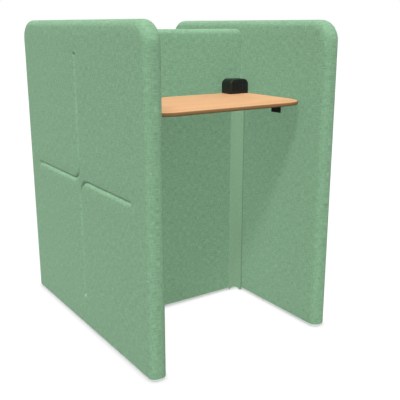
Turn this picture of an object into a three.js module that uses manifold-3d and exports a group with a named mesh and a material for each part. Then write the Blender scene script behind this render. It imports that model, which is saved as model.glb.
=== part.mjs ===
// Acoustic office pod for two people standing back to back.
// Two long padded side panels and one padded middle panel make an H in plan. Each of the two
// niches has a standing-height worktop, a power box on it and a cable duct in the corner below.
// Units are millimetres, +Z is up, X runs across the pod and the front niche opens towards -Y.
// The origin is on the floor, under the middle of the pod.

import * as THREE from 'three';
import { mergeVertices } from 'three/addons/utils/BufferGeometryUtils.js';
import Module from 'manifold-3d';

const wasm = await Module();
wasm.setup();

// Driving dimensions: side panels
const PANEL_HEIGHT = 1400;
const PANEL_DEPTH = 1240;
const PANEL_THICK = 75;
const PANEL_CORNER_R = 90;
const PANEL_EDGE_R = 31;

// Driving dimensions: middle panel
const NICHE_WIDTH = 800;
const MIDDLE_HEIGHT = 1360;
const MIDDLE_THICK = 56;
const MIDDLE_EDGE_R = 26;
const MIDDLE_CORNER_R = 18;

// Driving dimensions: what is inside and under every panel
const CORE_THICK = 25;
const CORE_COVER = 28;
const BASE_GAP = 2;
const BASE_HEIGHT = 8;
const BASE_INSET = 3;

// Driving dimensions: the two sewn channels on the outer face of a side panel
const CHANNEL_WIDTH = 30;
const CHANNEL_DEPTH = 11;
const CHANNEL_FLOOR = 4;
const CHANNEL_BEND_R = 72;
const CHANNEL_LIFT = 4;
const CHANNEL_TOP_MARGIN = 148;
const CHANNEL_END_MARGIN = 150;

// Driving dimensions: worktop
const WORKTOP_HEIGHT = 1055;
const WORKTOP_DEPTH = 494;
const WORKTOP_THICK = 15;
const WORKTOP_CORNER_R = 116;
const WORKTOP_EDGE_R = 4;

// Driving dimensions: worktop brackets and their screws
const BRACKET_WIDTH = 56;
const BRACKET_DROP = 56;
const BRACKET_WALL = 12;
const BRACKET_REACH = 42;
const BRACKET_SHELF = 9;
const BRACKET_SETBACK = 185;
const SCREW_D = 5;
const SCREW_HEAD_D = 10;
const SCREW_HEAD_H = 3;
const SIDE_SCREW_BITE = 18;
const MIDDLE_SCREW_BITE = 11;
const BOARD_SCREW_BITE = 10;

// Driving dimensions: studs that tie the middle panel to the side panels
const STUD_D = 10;
const STUD_COLLAR_D = 22;
const STUD_COLLAR_H = 4;
const STUD_SIDE_BITE = 20;
const STUD_MIDDLE_BITE = 60;
const STUD_LOWEST = 250;
const STUD_TOP_MARGIN = 170;
const STUD_COUNT = 3;

// Driving dimensions: levelling glides and the inserts they screw into
const GLIDE_FOOT_D = 36;
const GLIDE_FOOT_H = 6;
const GLIDE_STUD_D = 10;
const GLIDE_STUD_L = 45;
const GLIDE_END_DISTANCE = 105;
const INSERT_D = 17;
const INSERT_L = 30;

// Driving dimensions: power box
const BOX_WIDTH = 111;
const BOX_DEPTH = 73;
const BOX_HEIGHT = 70;
const BOX_CORNER_R = 26;
const BOX_WALL = 3;
const BOX_SIDE_GAP = 10;
const BOX_REAR_GAP = 1.5;
const MODULE_SIZE = 40;
const MODULE_DEPTH = 34;
const MODULE_STAND_OUT = 0.8;
const SOCKET_SLOT = 2.4;
const SOCKET_SLOT_H = 8;
const SOCKET_SLOT_PITCH = 12.7;
const SOCKET_EARTH_D = 4;
const SOCKET_EARTH_DROP = 11;
const USB_SLOT_W = 5.2;
const USB_SLOT_H = 13;
const USB_TONGUE_W = 1.8;
const USB_PITCH = 19;
const SLOT_DEPTH = 12;
const SPIGOT_D = 20;
const SPIGOT_BORE = 13;
const SPIGOT_FLANGE_D = 30;
const SPIGOT_FLANGE_H = 3;
const SPIGOT_END = 3;
const NUT_D = 34;
const NUT_H = 8;

// Driving dimensions: corner cable duct
const DUCT_LEG_X = 66;
const DUCT_LEG_Y = 40;
const DUCT_WALL = 3;
const DUCT_FLANGE = 12;
const NOTCH_WIDTH = 52;
const NOTCH_HEIGHT = 16;
const NOTCH_ASIDE = 4;

// Clearances
const FIT = 0.3;
const HOLE_FIT = 0.3;
const WORKTOP_FIT = 0.5;

// Steps in a quarter turn of an outline, in a rounded edge, in a small soft edge, round a rod
// and round a wide disc
const CORNER_STEPS = 8;
const EDGE_STEPS = 5;
const SOFT_STEPS = 3;
const ROD_STEPS = 12;
const DISC_STEPS = 20;

// Places worked out from the driving dimensions
const NICHE_HALF = NICHE_WIDTH / 2;
const PANEL_X = NICHE_HALF + PANEL_THICK / 2;
const BASE_TOP = BASE_GAP + BASE_HEIGHT;
const PAD_BOTTOM = BASE_TOP + FIT;
const CHANNEL_LEVEL = (PANEL_HEIGHT + PAD_BOTTOM) / 2 + CHANNEL_LIFT;
const MIDDLE_FACE = MIDDLE_THICK / 2;
const BOARD_BOTTOM = WORKTOP_HEIGHT - WORKTOP_THICK;
const BOARD_BACK = -(MIDDLE_FACE + WORKTOP_FIT);
const BOARD_FRONT = BOARD_BACK - WORKTOP_DEPTH;
const BRACKET_Y = BOARD_FRONT + BRACKET_SETBACK + BRACKET_WIDTH / 2;
const SHELF_TOP = BOARD_BOTTOM - FIT;
const PANEL_SCREW_Z = SHELF_TOP - BRACKET_SHELF - (BRACKET_DROP - BRACKET_SHELF) / 2;
const BOARD_SCREW_U = BRACKET_WALL + (BRACKET_REACH - BRACKET_WALL) / 2;
const SIDE_PAD_FACE = (PANEL_THICK - CORE_THICK) / 2;
const MIDDLE_PAD_FACE = (MIDDLE_THICK - CORE_THICK) / 2;
const GLIDE_Y = PANEL_DEPTH / 2 - GLIDE_END_DISTANCE;
const BOX_X = NICHE_HALF - BOX_SIDE_GAP - BOX_WIDTH / 2;
const BOX_BACK = -(MIDDLE_FACE + BOX_REAR_GAP);
const BOX_FRONT = BOX_BACK - BOX_DEPTH;
const BOX_BOTTOM = WORKTOP_HEIGHT + FIT;
const SPIGOT_Y = (BOX_BACK + BOX_FRONT) / 2;

// Finishes
const FABRIC = { color: 0x7fa485, roughness: 0.95, metalness: 0 };
const DUCT_FABRIC = { color: 0x7ba080, roughness: 0.95, metalness: 0 };
const CORE_BOARD = { color: 0xb08d64, roughness: 0.9, metalness: 0 };
const PALE_STRIP = { color: 0xd6d8d4, roughness: 0.6, metalness: 0 };
const BEECH = { color: 0xeebf8d, roughness: 0.45, metalness: 0 };
const BLACK_METAL = { color: 0x262625, roughness: 0.5, metalness: 0.4 };
const BLACK_PLASTIC = { color: 0x262625, roughness: 0.45, metalness: 0 };
const ZINC = { color: 0xb9bdc0, roughness: 0.35, metalness: 0.9 };

// Closed three.js geometry to a solid and back
function toSolid(geometry) {
  const bare = geometry.clone();
  bare.deleteAttribute('normal');
  bare.deleteAttribute('uv');
  const merged = mergeVertices(bare);
  const vertProperties = Float32Array.from(merged.attributes.position.array);
  const triVerts = Uint32Array.from(merged.index.array);
  return new wasm.Manifold(new wasm.Mesh({ numProp: 3, vertProperties, triVerts }));
}

function toGeometry(solid) {
  const mesh = solid.getMesh();
  const geometry = new THREE.BufferGeometry();
  geometry.setAttribute('position', new THREE.BufferAttribute(mesh.vertProperties, 3));
  geometry.setIndex(new THREE.BufferAttribute(mesh.triVerts, 1));
  geometry.computeVertexNormals();
  return geometry;
}

function cut(solid, tools) {
  return tools.reduce((rest, tool) => rest.subtract(tool), solid);
}

// Basic solids in place
function block(x0, x1, y0, y1, z0, z1) {
  const geometry = new THREE.BoxGeometry(x1 - x0, y1 - y0, z1 - z0);
  return toSolid(geometry.translate((x0 + x1) / 2, (y0 + y1) / 2, (z0 + z1) / 2));
}

// A round cutter, whose flats lie outside its diameter
function bore(diameter, from, to, steps = ROD_STEPS) {
  const start = new THREE.Vector3(...from);
  const axis = new THREE.Vector3(...to).sub(start);
  const radius = diameter / 2 / Math.cos(Math.PI / steps);
  const geometry = new THREE.CylinderGeometry(radius, radius, axis.length(), steps);
  const turn = new THREE.Quaternion().setFromUnitVectors(
    new THREE.Vector3(0, 1, 0),
    axis.clone().normalize(),
  );
  const middle = start.addScaledVector(axis, 0.5);
  return toSolid(geometry.applyQuaternion(turn).translate(middle.x, middle.y, middle.z));
}

// Outlines: arcs are lists of points, so that an outline never repeats a corner
function arc(x, y, radius, from, to, steps = CORNER_STEPS) {
  return Array.from({ length: steps + 1 }, (_, i) => {
    const angle = from + ((to - from) * i) / steps;
    return new THREE.Vector2(x + radius * Math.cos(angle), y + radius * Math.sin(angle));
  });
}

function archOutline(half, bottom, top, radius) {
  return [
    new THREE.Vector2(-half, bottom),
    new THREE.Vector2(half, bottom),
    ...arc(half - radius, top - radius, radius, 0, Math.PI / 2),
    ...arc(-half + radius, top - radius, radius, Math.PI / 2, Math.PI),
  ];
}

function roundedBar(halfX, halfY, radius) {
  const x = halfX - radius;
  const y = halfY - radius;
  return [
    ...arc(x, y, radius, 0, Math.PI / 2, EDGE_STEPS),
    ...arc(-x, y, radius, Math.PI / 2, Math.PI, EDGE_STEPS),
    ...arc(-x, -y, radius, Math.PI, Math.PI * 1.5, EDGE_STEPS),
    ...arc(x, -y, radius, Math.PI * 1.5, Math.PI * 2, EDGE_STEPS),
  ];
}

// Extrusions: along X from a Y-Z outline, along Y from an X-Z outline, and up from a plan
const ALONG_X = new THREE.Matrix4().makeBasis(
  new THREE.Vector3(0, 1, 0),
  new THREE.Vector3(0, 0, 1),
  new THREE.Vector3(1, 0, 0),
);
const ALONG_Y = new THREE.Matrix4().makeBasis(
  new THREE.Vector3(1, 0, 0),
  new THREE.Vector3(0, 0, 1),
  new THREE.Vector3(0, -1, 0),
);

function extrude(points, depth, bevel = {}) {
  const options = { depth, steps: 1, bevelEnabled: false, ...bevel };
  return new THREE.ExtrudeGeometry(new THREE.Shape(points), options);
}

function alongX(points, x0, x1) {
  return toSolid(extrude(points, x1 - x0).translate(0, 0, x0).applyMatrix4(ALONG_X));
}

function alongY(points, y0, y1) {
  return toSolid(extrude(points, y1 - y0).translate(0, 0, -y1).applyMatrix4(ALONG_Y));
}

function upwards(points, z0, z1) {
  return toSolid(extrude(points, z1 - z0).translate(0, 0, z0));
}

function edgeBevel(radius, steps) {
  return {
    bevelEnabled: true,
    bevelThickness: radius,
    bevelSize: radius,
    bevelOffset: -radius,
    bevelSegments: steps,
  };
}

// Turned pieces: a profile of [radius, height] pairs, spun about +Z
function turned(profile, steps = ROD_STEPS) {
  const points = profile.map(([radius, height]) => new THREE.Vector2(radius, height));
  return new THREE.LatheGeometry(points, steps).rotateX(Math.PI / 2);
}

function mesh(name, shape, finish) {
  const geometry = shape.isBufferGeometry ? shape : toGeometry(shape);
  const piece = new THREE.Mesh(geometry, new THREE.MeshStandardMaterial(finish));
  piece.name = name;
  return piece;
}

// Side panel: a hard core between two pads, whose rounded edges meet at the panel's mid-plane
function sidePanelBody() {
  const radius = Math.min(PANEL_EDGE_R, PANEL_THICK / 2 - FIT);
  const outline = archOutline(PANEL_DEPTH / 2, PAD_BOTTOM - 2 * radius, PANEL_HEIGHT, PANEL_CORNER_R);
  const flat = PANEL_THICK - 2 * radius;
  const geometry = extrude(outline, flat, edgeBevel(radius, EDGE_STEPS));
  geometry.translate(0, 0, -PANEL_X - flat / 2);
  const whole = toSolid(geometry.applyMatrix4(ALONG_X));
  const belowPad = block(-2 * PANEL_X, 0, -PANEL_DEPTH, PANEL_DEPTH, -PANEL_HEIGHT, PAD_BOTTOM);
  return whole.subtract(belowPad);
}

function sideCoreBody(grow) {
  const outline = archOutline(
    PANEL_DEPTH / 2 - CORE_COVER + grow,
    PAD_BOTTOM - grow,
    PANEL_HEIGHT - CORE_COVER + grow,
    Math.max(PANEL_CORNER_R - CORE_COVER, CORE_THICK / 2) + grow,
  );
  const half = CORE_THICK / 2 + grow;
  return alongX(outline, -PANEL_X - half, -PANEL_X + half);
}

// One L-shaped channel: down from the top, round the bend and along to the panel's far end
function channelOutline() {
  const half = CHANNEL_WIDTH / 2;
  const bend = CHANNEL_BEND_R;
  const top = PANEL_HEIGHT - CHANNEL_LEVEL - CHANNEL_TOP_MARGIN;
  const end = PANEL_DEPTH / 2 - CHANNEL_END_MARGIN;
  return [
    ...arc(0, top, half, 0, Math.PI, SOFT_STEPS * 2),
    ...arc(bend, bend, bend + half, Math.PI, Math.PI * 1.5),
    ...arc(end, 0, half, -Math.PI / 2, Math.PI / 2, SOFT_STEPS * 2),
    ...arc(bend, bend, bend - half, Math.PI * 1.5, Math.PI),
  ];
}

function channelCutter(turn) {
  const cover = CHANNEL_DEPTH;
  const slope = CHANNEL_WIDTH / 2 - CHANNEL_FLOOR / 2;
  const geometry = extrude(channelOutline(), cover, {
    bevelEnabled: true,
    bevelThickness: CHANNEL_DEPTH,
    bevelSize: slope,
    bevelOffset: -slope,
    bevelSegments: SOFT_STEPS,
  });
  geometry.rotateZ(turn).translate(0, CHANNEL_LEVEL, -PANEL_X - PANEL_THICK / 2 - cover);
  return toSolid(geometry.applyMatrix4(ALONG_X));
}

function studHeights() {
  const pitch = (MIDDLE_HEIGHT - STUD_TOP_MARGIN - STUD_LOWEST) / (STUD_COUNT - 1);
  return Array.from({ length: STUD_COUNT }, (_, i) => STUD_LOWEST + i * pitch);
}

function sideScrewPlaces() {
  return [BRACKET_Y, -BRACKET_Y];
}

function sidePanel({ side, niche, beyond }) {
  const panel = new THREE.Group();
  const body = sidePanelBody();
  const hollow = sideCoreBody(FIT);
  const split = -PANEL_X;
  const outside = block(-2 * PANEL_X, split - FIT / 2, -PANEL_DEPTH, PANEL_DEPTH, 0, 2 * PANEL_HEIGHT);
  const inside = block(split + FIT / 2, 0, -PANEL_DEPTH, PANEL_DEPTH, 0, 2 * PANEL_HEIGHT);
  const face = -NICHE_HALF;
  const coreFace = face - SIDE_PAD_FACE;
  const outerPad = body.intersect(outside).subtract(hollow);
  const innerPad = body.intersect(inside).subtract(hollow);

  const studs = studHeights().map((z) => ({
    wide: bore(STUD_COLLAR_D + 2 * HOLE_FIT, [coreFace - FIT, 0, z], [face + FIT, 0, z]),
    deep: bore(STUD_D + 2 * HOLE_FIT, [coreFace - STUD_SIDE_BITE - FIT, 0, z], [face, 0, z]),
  }));
  const screws = sideScrewPlaces().map((y) => {
    const tip = coreFace - SIDE_SCREW_BITE - FIT;
    return bore(SCREW_D + 2 * HOLE_FIT, [tip, y, PANEL_SCREW_Z], [face + FIT, y, PANEL_SCREW_Z]);
  });
  const glideHoles = [-GLIDE_Y, GLIDE_Y].flatMap((y) => [
    bore(INSERT_D + 2 * FIT, [split, y, 0], [split, y, PAD_BOTTOM + INSERT_L + FIT]),
    bore(
      GLIDE_STUD_D + 2 * HOLE_FIT,
      [split, y, 0],
      [split, y, GLIDE_FOOT_H + GLIDE_STUD_L + INSERT_L / 2],
    ),
  ]);
  const core = cut(sideCoreBody(0), [...studs.map((s) => s.deep), ...screws, ...glideHoles]);

  panel.add(mesh(`${side}_panel_core`, core, CORE_BOARD));
  panel.add(mesh(`${side}_panel_outer_pad`, cut(outerPad, [0, Math.PI].map(channelCutter)), FABRIC));
  panel.add(mesh(
    `${side}_panel_inner_pad`,
    cut(innerPad, [...studs.map((s) => s.wide), ...screws]),
    FABRIC,
  ));
  panel.add(sideBase(side));
  for (const [end, y] of [[niche, -GLIDE_Y], [beyond, GLIDE_Y]]) {
    panel.add(glideInsert(`${side}_${end}_glide_insert`, y));
    panel.add(glide(`${side}_${end}_glide`, y));
  }
  return panel;
}

// Base strip under a side panel, with a pocket that each glide's foot draws back into
function sideBase(side) {
  const radius = Math.min(PANEL_EDGE_R, PANEL_THICK / 2 - FIT) - BASE_INSET;
  const plan = roundedBar(PANEL_THICK / 2 - BASE_INSET, PANEL_DEPTH / 2 - BASE_INSET, radius);
  const bar = upwards(plan, BASE_GAP, BASE_TOP).translate([-PANEL_X, 0, 0]);
  const pockets = [-GLIDE_Y, GLIDE_Y].flatMap((y) => [
    bore(GLIDE_FOOT_D + 2 * HOLE_FIT, [-PANEL_X, y, 0], [-PANEL_X, y, GLIDE_FOOT_H + FIT], DISC_STEPS),
    bore(GLIDE_STUD_D + 2 * HOLE_FIT, [-PANEL_X, y, 0], [-PANEL_X, y, BASE_TOP + FIT]),
  ]);
  return mesh(`${side}_base_strip`, cut(bar, pockets), PALE_STRIP);
}

function glideInsert(name, y) {
  const bore = GLIDE_STUD_D / 2 + HOLE_FIT;
  const rim = INSERT_D / 2;
  const profile = [[bore, 0], [rim, 0], [rim, INSERT_L], [bore, INSERT_L], [bore, 0]];
  const piece = mesh(name, turned(profile), ZINC);
  piece.position.set(-PANEL_X, y, PAD_BOTTOM);
  return piece;
}

function glide(name, y) {
  const foot = GLIDE_FOOT_D / 2;
  const stud = GLIDE_STUD_D / 2;
  const chamfer = GLIDE_FOOT_H / 4;
  const top = GLIDE_FOOT_H + GLIDE_STUD_L;
  const profile = [
    [0, 0],
    [foot - chamfer, 0],
    [foot, chamfer],
    [foot, GLIDE_FOOT_H],
    [stud, GLIDE_FOOT_H],
    [stud, top],
    [0, top],
  ];
  const piece = mesh(name, turned(profile, DISC_STEPS), BLACK_PLASTIC);
  piece.position.set(-PANEL_X, y, 0);
  return piece;
}

// Middle panel: built like the side panels, but rounded over its top edge only
function middlePanelBody() {
  const half = NICHE_HALF - FIT;
  const radius = Math.min(MIDDLE_EDGE_R, MIDDLE_THICK / 2 - FIT);
  const section = archOutline(MIDDLE_FACE, PAD_BOTTOM, MIDDLE_HEIGHT, radius);
  const front = archOutline(half, 0, MIDDLE_HEIGHT, MIDDLE_CORNER_R);
  return alongX(section, -half, half).intersect(alongY(front, -MIDDLE_THICK, MIDDLE_THICK));
}

function middleCoreBody(grow) {
  const end = NICHE_HALF - FIT + grow;
  const half = CORE_THICK / 2 + grow;
  return block(-end, end, -half, half, PAD_BOTTOM - grow, MIDDLE_HEIGHT - CORE_COVER + grow);
}

function rearScrewHole() {
  const tip = -CORE_THICK / 2 + MIDDLE_SCREW_BITE + FIT;
  const mouth = -MIDDLE_FACE - FIT;
  return bore(SCREW_D + 2 * HOLE_FIT, [0, mouth, PANEL_SCREW_Z], [0, tip, PANEL_SCREW_Z]);
}

function middlePad(niche) {
  const front = block(-NICHE_WIDTH, NICHE_WIDTH, -MIDDLE_THICK, -FIT / 2, 0, 2 * MIDDLE_HEIGHT);
  const pad = middlePanelBody().intersect(front).subtract(middleCoreBody(FIT));
  return mesh(`middle_${niche}_pad`, pad.subtract(rearScrewHole()), FABRIC);
}

function middleCore() {
  const depth = NICHE_HALF - STUD_MIDDLE_BITE - FIT;
  const studs = studHeights().flatMap((z) => [-1, 1].map((end) => (
    bore(STUD_D + 2 * HOLE_FIT, [end * depth, 0, z], [end * NICHE_WIDTH, 0, z])
  )));
  const front = rearScrewHole();
  const screws = [front, front.rotate([0, 0, 180])];
  return mesh('middle_panel_core', cut(middleCoreBody(0), [...studs, ...screws]), CORE_BOARD);
}

function middleBase() {
  const end = NICHE_HALF + BASE_INSET - FIT;
  const half = MIDDLE_FACE - BASE_INSET;
  return mesh('middle_base_strip', block(-end, end, -half, half, BASE_GAP, BASE_TOP), PALE_STRIP);
}

// Stud between a side core and the middle core, with a collar that bears on the side core
function joiningStud(name, z) {
  const thin = STUD_D / 2;
  const wide = STUD_COLLAR_D / 2;
  const length = SIDE_PAD_FACE + FIT + STUD_MIDDLE_BITE;
  const profile = [
    [0, -STUD_SIDE_BITE],
    [thin, -STUD_SIDE_BITE],
    [thin, FIT],
    [wide, FIT],
    [wide, FIT + STUD_COLLAR_H],
    [thin, FIT + STUD_COLLAR_H],
    [thin, length],
    [0, length],
  ];
  const piece = mesh(name, turned(profile), ZINC);
  piece.rotation.y = Math.PI / 2;
  piece.position.set(-NICHE_HALF - SIDE_PAD_FACE, 0, z);
  return piece;
}

// Worktop: a thin board with large round front corners
function worktop(niche) {
  const half = NICHE_HALF - WORKTOP_FIT;
  const radius = WORKTOP_CORNER_R;
  const inner = BOARD_FRONT + radius;
  const plan = [
    new THREE.Vector2(half, BOARD_BACK),
    new THREE.Vector2(-half, BOARD_BACK),
    ...arc(-half + radius, inner, radius, Math.PI, Math.PI * 1.5),
    ...arc(half - radius, inner, radius, Math.PI * 1.5, Math.PI * 2),
  ];
  const soft = Math.min(WORKTOP_EDGE_R, WORKTOP_THICK / 2 - FIT);
  const board = extrude(plan, WORKTOP_THICK - 2 * soft, edgeBevel(soft, SOFT_STEPS));
  const holes = bracketPlaces().map(({ x, y, turn }) => {
    const px = x + BOARD_SCREW_U * Math.cos(turn);
    const py = y + BOARD_SCREW_U * Math.sin(turn);
    const tip = BOARD_BOTTOM + BOARD_SCREW_BITE + FIT;
    return bore(SCREW_D + 2 * HOLE_FIT, [px, py, BOARD_BOTTOM - FIT], [px, py, tip]);
  });
  holes.push(bore(
    SPIGOT_D + 2 * HOLE_FIT,
    [BOX_X, SPIGOT_Y, BOARD_BOTTOM - FIT],
    [BOX_X, SPIGOT_Y, WORKTOP_HEIGHT + FIT],
  ));
  const placed = toSolid(board.translate(0, 0, BOARD_BOTTOM + soft));
  return mesh(`${niche}_worktop`, cut(placed, holes), BEECH);
}

// Brackets: one on each side panel and one on the middle panel. Local +X points off the panel.
function bracketPlaces(near, far) {
  const sideBite = SIDE_PAD_FACE + SIDE_SCREW_BITE;
  const middleBite = MIDDLE_PAD_FACE + MIDDLE_SCREW_BITE;
  return [
    { key: near, x: -NICHE_HALF + FIT, y: BRACKET_Y, turn: 0, bite: sideBite },
    { key: far, x: NICHE_HALF - FIT, y: BRACKET_Y, turn: Math.PI, bite: sideBite },
    { key: 'back', x: 0, y: -MIDDLE_FACE - FIT, turn: -Math.PI / 2, bite: middleBite },
  ];
}

function bracketSet(niche, { key, x, y, turn, bite }) {
  const set = new THREE.Group();
  set.position.set(x, y, 0);
  set.rotation.z = turn;
  const half = BRACKET_WIDTH / 2;
  const bottom = SHELF_TOP - BRACKET_DROP;
  const shelf = SHELF_TOP - BRACKET_SHELF;
  const fillet = BRACKET_SHELF;
  const profile = [
    new THREE.Vector2(0, bottom),
    new THREE.Vector2(BRACKET_WALL, bottom),
    ...arc(BRACKET_WALL + fillet, shelf - fillet, fillet, Math.PI, Math.PI / 2, EDGE_STEPS),
    new THREE.Vector2(BRACKET_REACH, shelf),
    new THREE.Vector2(BRACKET_REACH, SHELF_TOP),
    new THREE.Vector2(0, SHELF_TOP),
  ];
  const hole = SCREW_D + 2 * HOLE_FIT;
  const body = cut(alongY(profile, -half, half), [
    bore(hole, [-FIT, 0, PANEL_SCREW_Z], [BRACKET_WALL + FIT, 0, PANEL_SCREW_Z]),
    bore(hole, [BOARD_SCREW_U, 0, shelf - FIT], [BOARD_SCREW_U, 0, SHELF_TOP + FIT]),
  ]);
  const name = `${niche}_${key}_bracket`;
  set.add(mesh(name, body, BLACK_METAL));

  const panelShank = BRACKET_WALL + FIT + bite;
  const panelScrew = mesh(`${name}_panel_screw`, screw(panelShank), BLACK_METAL);
  panelScrew.rotation.y = -Math.PI / 2;
  panelScrew.position.set(BRACKET_WALL + FIT, 0, PANEL_SCREW_Z);
  const boardShank = BRACKET_SHELF + FIT + BOARD_SCREW_BITE;
  const boardScrew = mesh(`${name}_board_screw`, screw(boardShank), BLACK_METAL);
  boardScrew.position.set(BOARD_SCREW_U, 0, shelf - FIT);
  set.add(panelScrew, boardScrew);
  return set;
}

// Pan-head screw: the head is below its seat at zero, and the shank runs up from it
function screw(length) {
  const head = SCREW_HEAD_D / 2;
  const shank = SCREW_D / 2;
  const dome = SCREW_HEAD_H / 2;
  return turned([
    [0, -SCREW_HEAD_H],
    [head - dome, -SCREW_HEAD_H],
    [head, -dome],
    [head, 0],
    [shank, 0],
    [shank, length - shank],
    [0, length],
  ]);
}

// Power box: a hollow housing with two plug-in modules, held down by a hollow spigot and a nut
function boxHousing(niche) {
  const half = BOX_WIDTH / 2;
  const outline = archOutline(half, BOX_BOTTOM, BOX_BOTTOM + BOX_HEIGHT, BOX_CORNER_R);
  const shell = alongY(outline, BOX_FRONT, BOX_BACK);
  const hollow = archOutline(
    half - BOX_WALL,
    BOX_BOTTOM + BOX_WALL,
    BOX_BOTTOM + BOX_HEIGHT - BOX_WALL,
    Math.max(BOX_CORNER_R - BOX_WALL, BOX_WALL / 2),
  );
  const inside = alongY(hollow, BOX_FRONT + BOX_WALL, BOX_BACK - BOX_WALL);
  const tall = MODULE_SIZE / 2 + FIT;
  const wide = MODULE_SIZE + 1.5 * FIT;
  const middle = BOX_BOTTOM + BOX_HEIGHT / 2;
  const front = [BOX_FRONT - FIT, BOX_FRONT + BOX_WALL + FIT];
  const window = block(-wide, wide, ...front, middle - tall, middle + tall);
  const hole = SPIGOT_D + 2 * HOLE_FIT;
  const cable = bore(hole, [0, SPIGOT_Y, BOX_BOTTOM - FIT], [0, SPIGOT_Y, BOX_BOTTOM + BOX_WALL + FIT]);
  const housing = mesh(`${niche}_power_housing`, cut(shell, [inside, window, cable]), BLACK_PLASTIC);
  housing.position.x = BOX_X;
  return housing;
}

function moduleBlank() {
  const half = MODULE_SIZE / 2;
  return block(-half, half, -MODULE_STAND_OUT, MODULE_DEPTH, -half, half);
}

function slot(x, z, width, height) {
  const front = -MODULE_STAND_OUT - FIT;
  return block(x - width / 2, x + width / 2, front, SLOT_DEPTH, z - height / 2, z + height / 2);
}

function placeModule(piece, order) {
  piece.position.set(
    BOX_X + (order * (MODULE_SIZE + FIT)) / 2,
    BOX_FRONT,
    BOX_BOTTOM + BOX_HEIGHT / 2,
  );
  return piece;
}

function socketModule(niche) {
  const pitch = SOCKET_SLOT_PITCH / 2;
  const lift = SOCKET_EARTH_DROP / 2;
  const earth = bore(SOCKET_EARTH_D, [0, -MODULE_STAND_OUT - FIT, -lift], [0, SLOT_DEPTH, -lift]);
  const body = cut(moduleBlank(), [
    slot(-pitch, lift, SOCKET_SLOT, SOCKET_SLOT_H),
    slot(pitch, lift, SOCKET_SLOT, SOCKET_SLOT_H),
    earth,
  ]);
  return placeModule(mesh(`${niche}_socket_module`, body, BLACK_PLASTIC), -1);
}

function usbModule(niche) {
  const middle = USB_PITCH / 2;
  const tongueFront = -MODULE_STAND_OUT + FIT;
  const ports = [-middle, middle].map((z) => {
    const half = USB_TONGUE_W / 2;
    const tall = USB_SLOT_H / 2;
    const tongue = block(-half, half, tongueFront, SLOT_DEPTH + FIT, z - tall + half, z + tall - half);
    return slot(0, z, USB_SLOT_W, USB_SLOT_H).subtract(tongue);
  });
  return placeModule(mesh(`${niche}_usb_module`, cut(moduleBlank(), ports), BLACK_PLASTIC), 1);
}

function cableSpigot(niche) {
  const bore = SPIGOT_BORE / 2;
  const tube = SPIGOT_D / 2;
  const rim = SPIGOT_FLANGE_D / 2;
  const seat = BOX_BOTTOM + BOX_WALL + FIT;
  const end = BOARD_BOTTOM - FIT - NUT_H - SPIGOT_END;
  const profile = [
    [bore, end],
    [tube, end],
    [tube, seat],
    [rim, seat],
    [rim, seat + SPIGOT_FLANGE_H],
    [bore, seat + SPIGOT_FLANGE_H],
    [bore, end],
  ];
  const piece = mesh(`${niche}_cable_spigot`, turned(profile), BLACK_PLASTIC);
  piece.position.set(BOX_X, SPIGOT_Y, 0);
  return piece;
}

function spigotNut(niche) {
  const bore = SPIGOT_D / 2 + HOLE_FIT;
  const rim = NUT_D / 2;
  const profile = [[bore, -NUT_H], [rim, -NUT_H], [rim, 0], [bore, 0], [bore, -NUT_H]];
  const piece = mesh(`${niche}_spigot_nut`, turned(profile, DISC_STEPS), BLACK_PLASTIC);
  piece.position.set(BOX_X, SPIGOT_Y, BOARD_BOTTOM - FIT);
  return piece;
}

// Corner cable duct: a slanted cover with two flanges, from the floor up to the worktop
function cableDuct(niche) {
  const cornerX = NICHE_HALF - FIT;
  const cornerY = -MIDDLE_FACE - FIT;
  const slant = Math.atan2(DUCT_LEG_Y, DUCT_LEG_X);
  const alongFace = DUCT_WALL / Math.sin(slant);
  const acrossFace = DUCT_WALL / Math.cos(slant);
  const plan = [
    [-DUCT_LEG_X, 0],
    [-DUCT_LEG_X, -DUCT_WALL],
    [-DUCT_LEG_X + DUCT_WALL / 2, -DUCT_WALL],
    [-DUCT_WALL, -DUCT_LEG_Y + DUCT_WALL / 2],
    [-DUCT_WALL, -DUCT_LEG_Y],
    [0, -DUCT_LEG_Y],
    [0, -DUCT_LEG_Y + DUCT_FLANGE + acrossFace],
    [-DUCT_WALL, -DUCT_LEG_Y + DUCT_FLANGE + acrossFace],
    [-DUCT_WALL, -DUCT_LEG_Y + DUCT_WALL / 2 + acrossFace],
    [-DUCT_LEG_X + DUCT_WALL / 2 + alongFace, -DUCT_WALL],
    [-DUCT_LEG_X + DUCT_FLANGE + alongFace, -DUCT_WALL],
    [-DUCT_LEG_X + DUCT_FLANGE + alongFace, 0],
  ].map(([x, y]) => new THREE.Vector2(cornerX + x, cornerY + y));
  const cover = upwards(plan, BASE_GAP, BOARD_BOTTOM - FIT);

  const half = NOTCH_WIDTH / 2;
  const arch = archOutline(half, -NOTCH_HEIGHT, NOTCH_HEIGHT, half);
  const reach = DUCT_WALL * 2;
  const centre = [
    cornerX - DUCT_LEG_X / 2 - NOTCH_ASIDE * Math.cos(slant),
    cornerY - DUCT_LEG_Y / 2 + NOTCH_ASIDE * Math.sin(slant),
  ];
  const turn = (-slant * 180) / Math.PI;
  const notch = alongY(arch, -reach, reach).rotate([0, 0, turn]);
  const foot = notch.translate([...centre, BASE_GAP]);
  const head = notch.rotate([180, 0, 2 * turn]).translate([...centre, BOARD_BOTTOM - FIT]);
  return mesh(`${niche}_cable_duct`, cut(cover, [foot, head]), DUCT_FABRIC);
}

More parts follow.
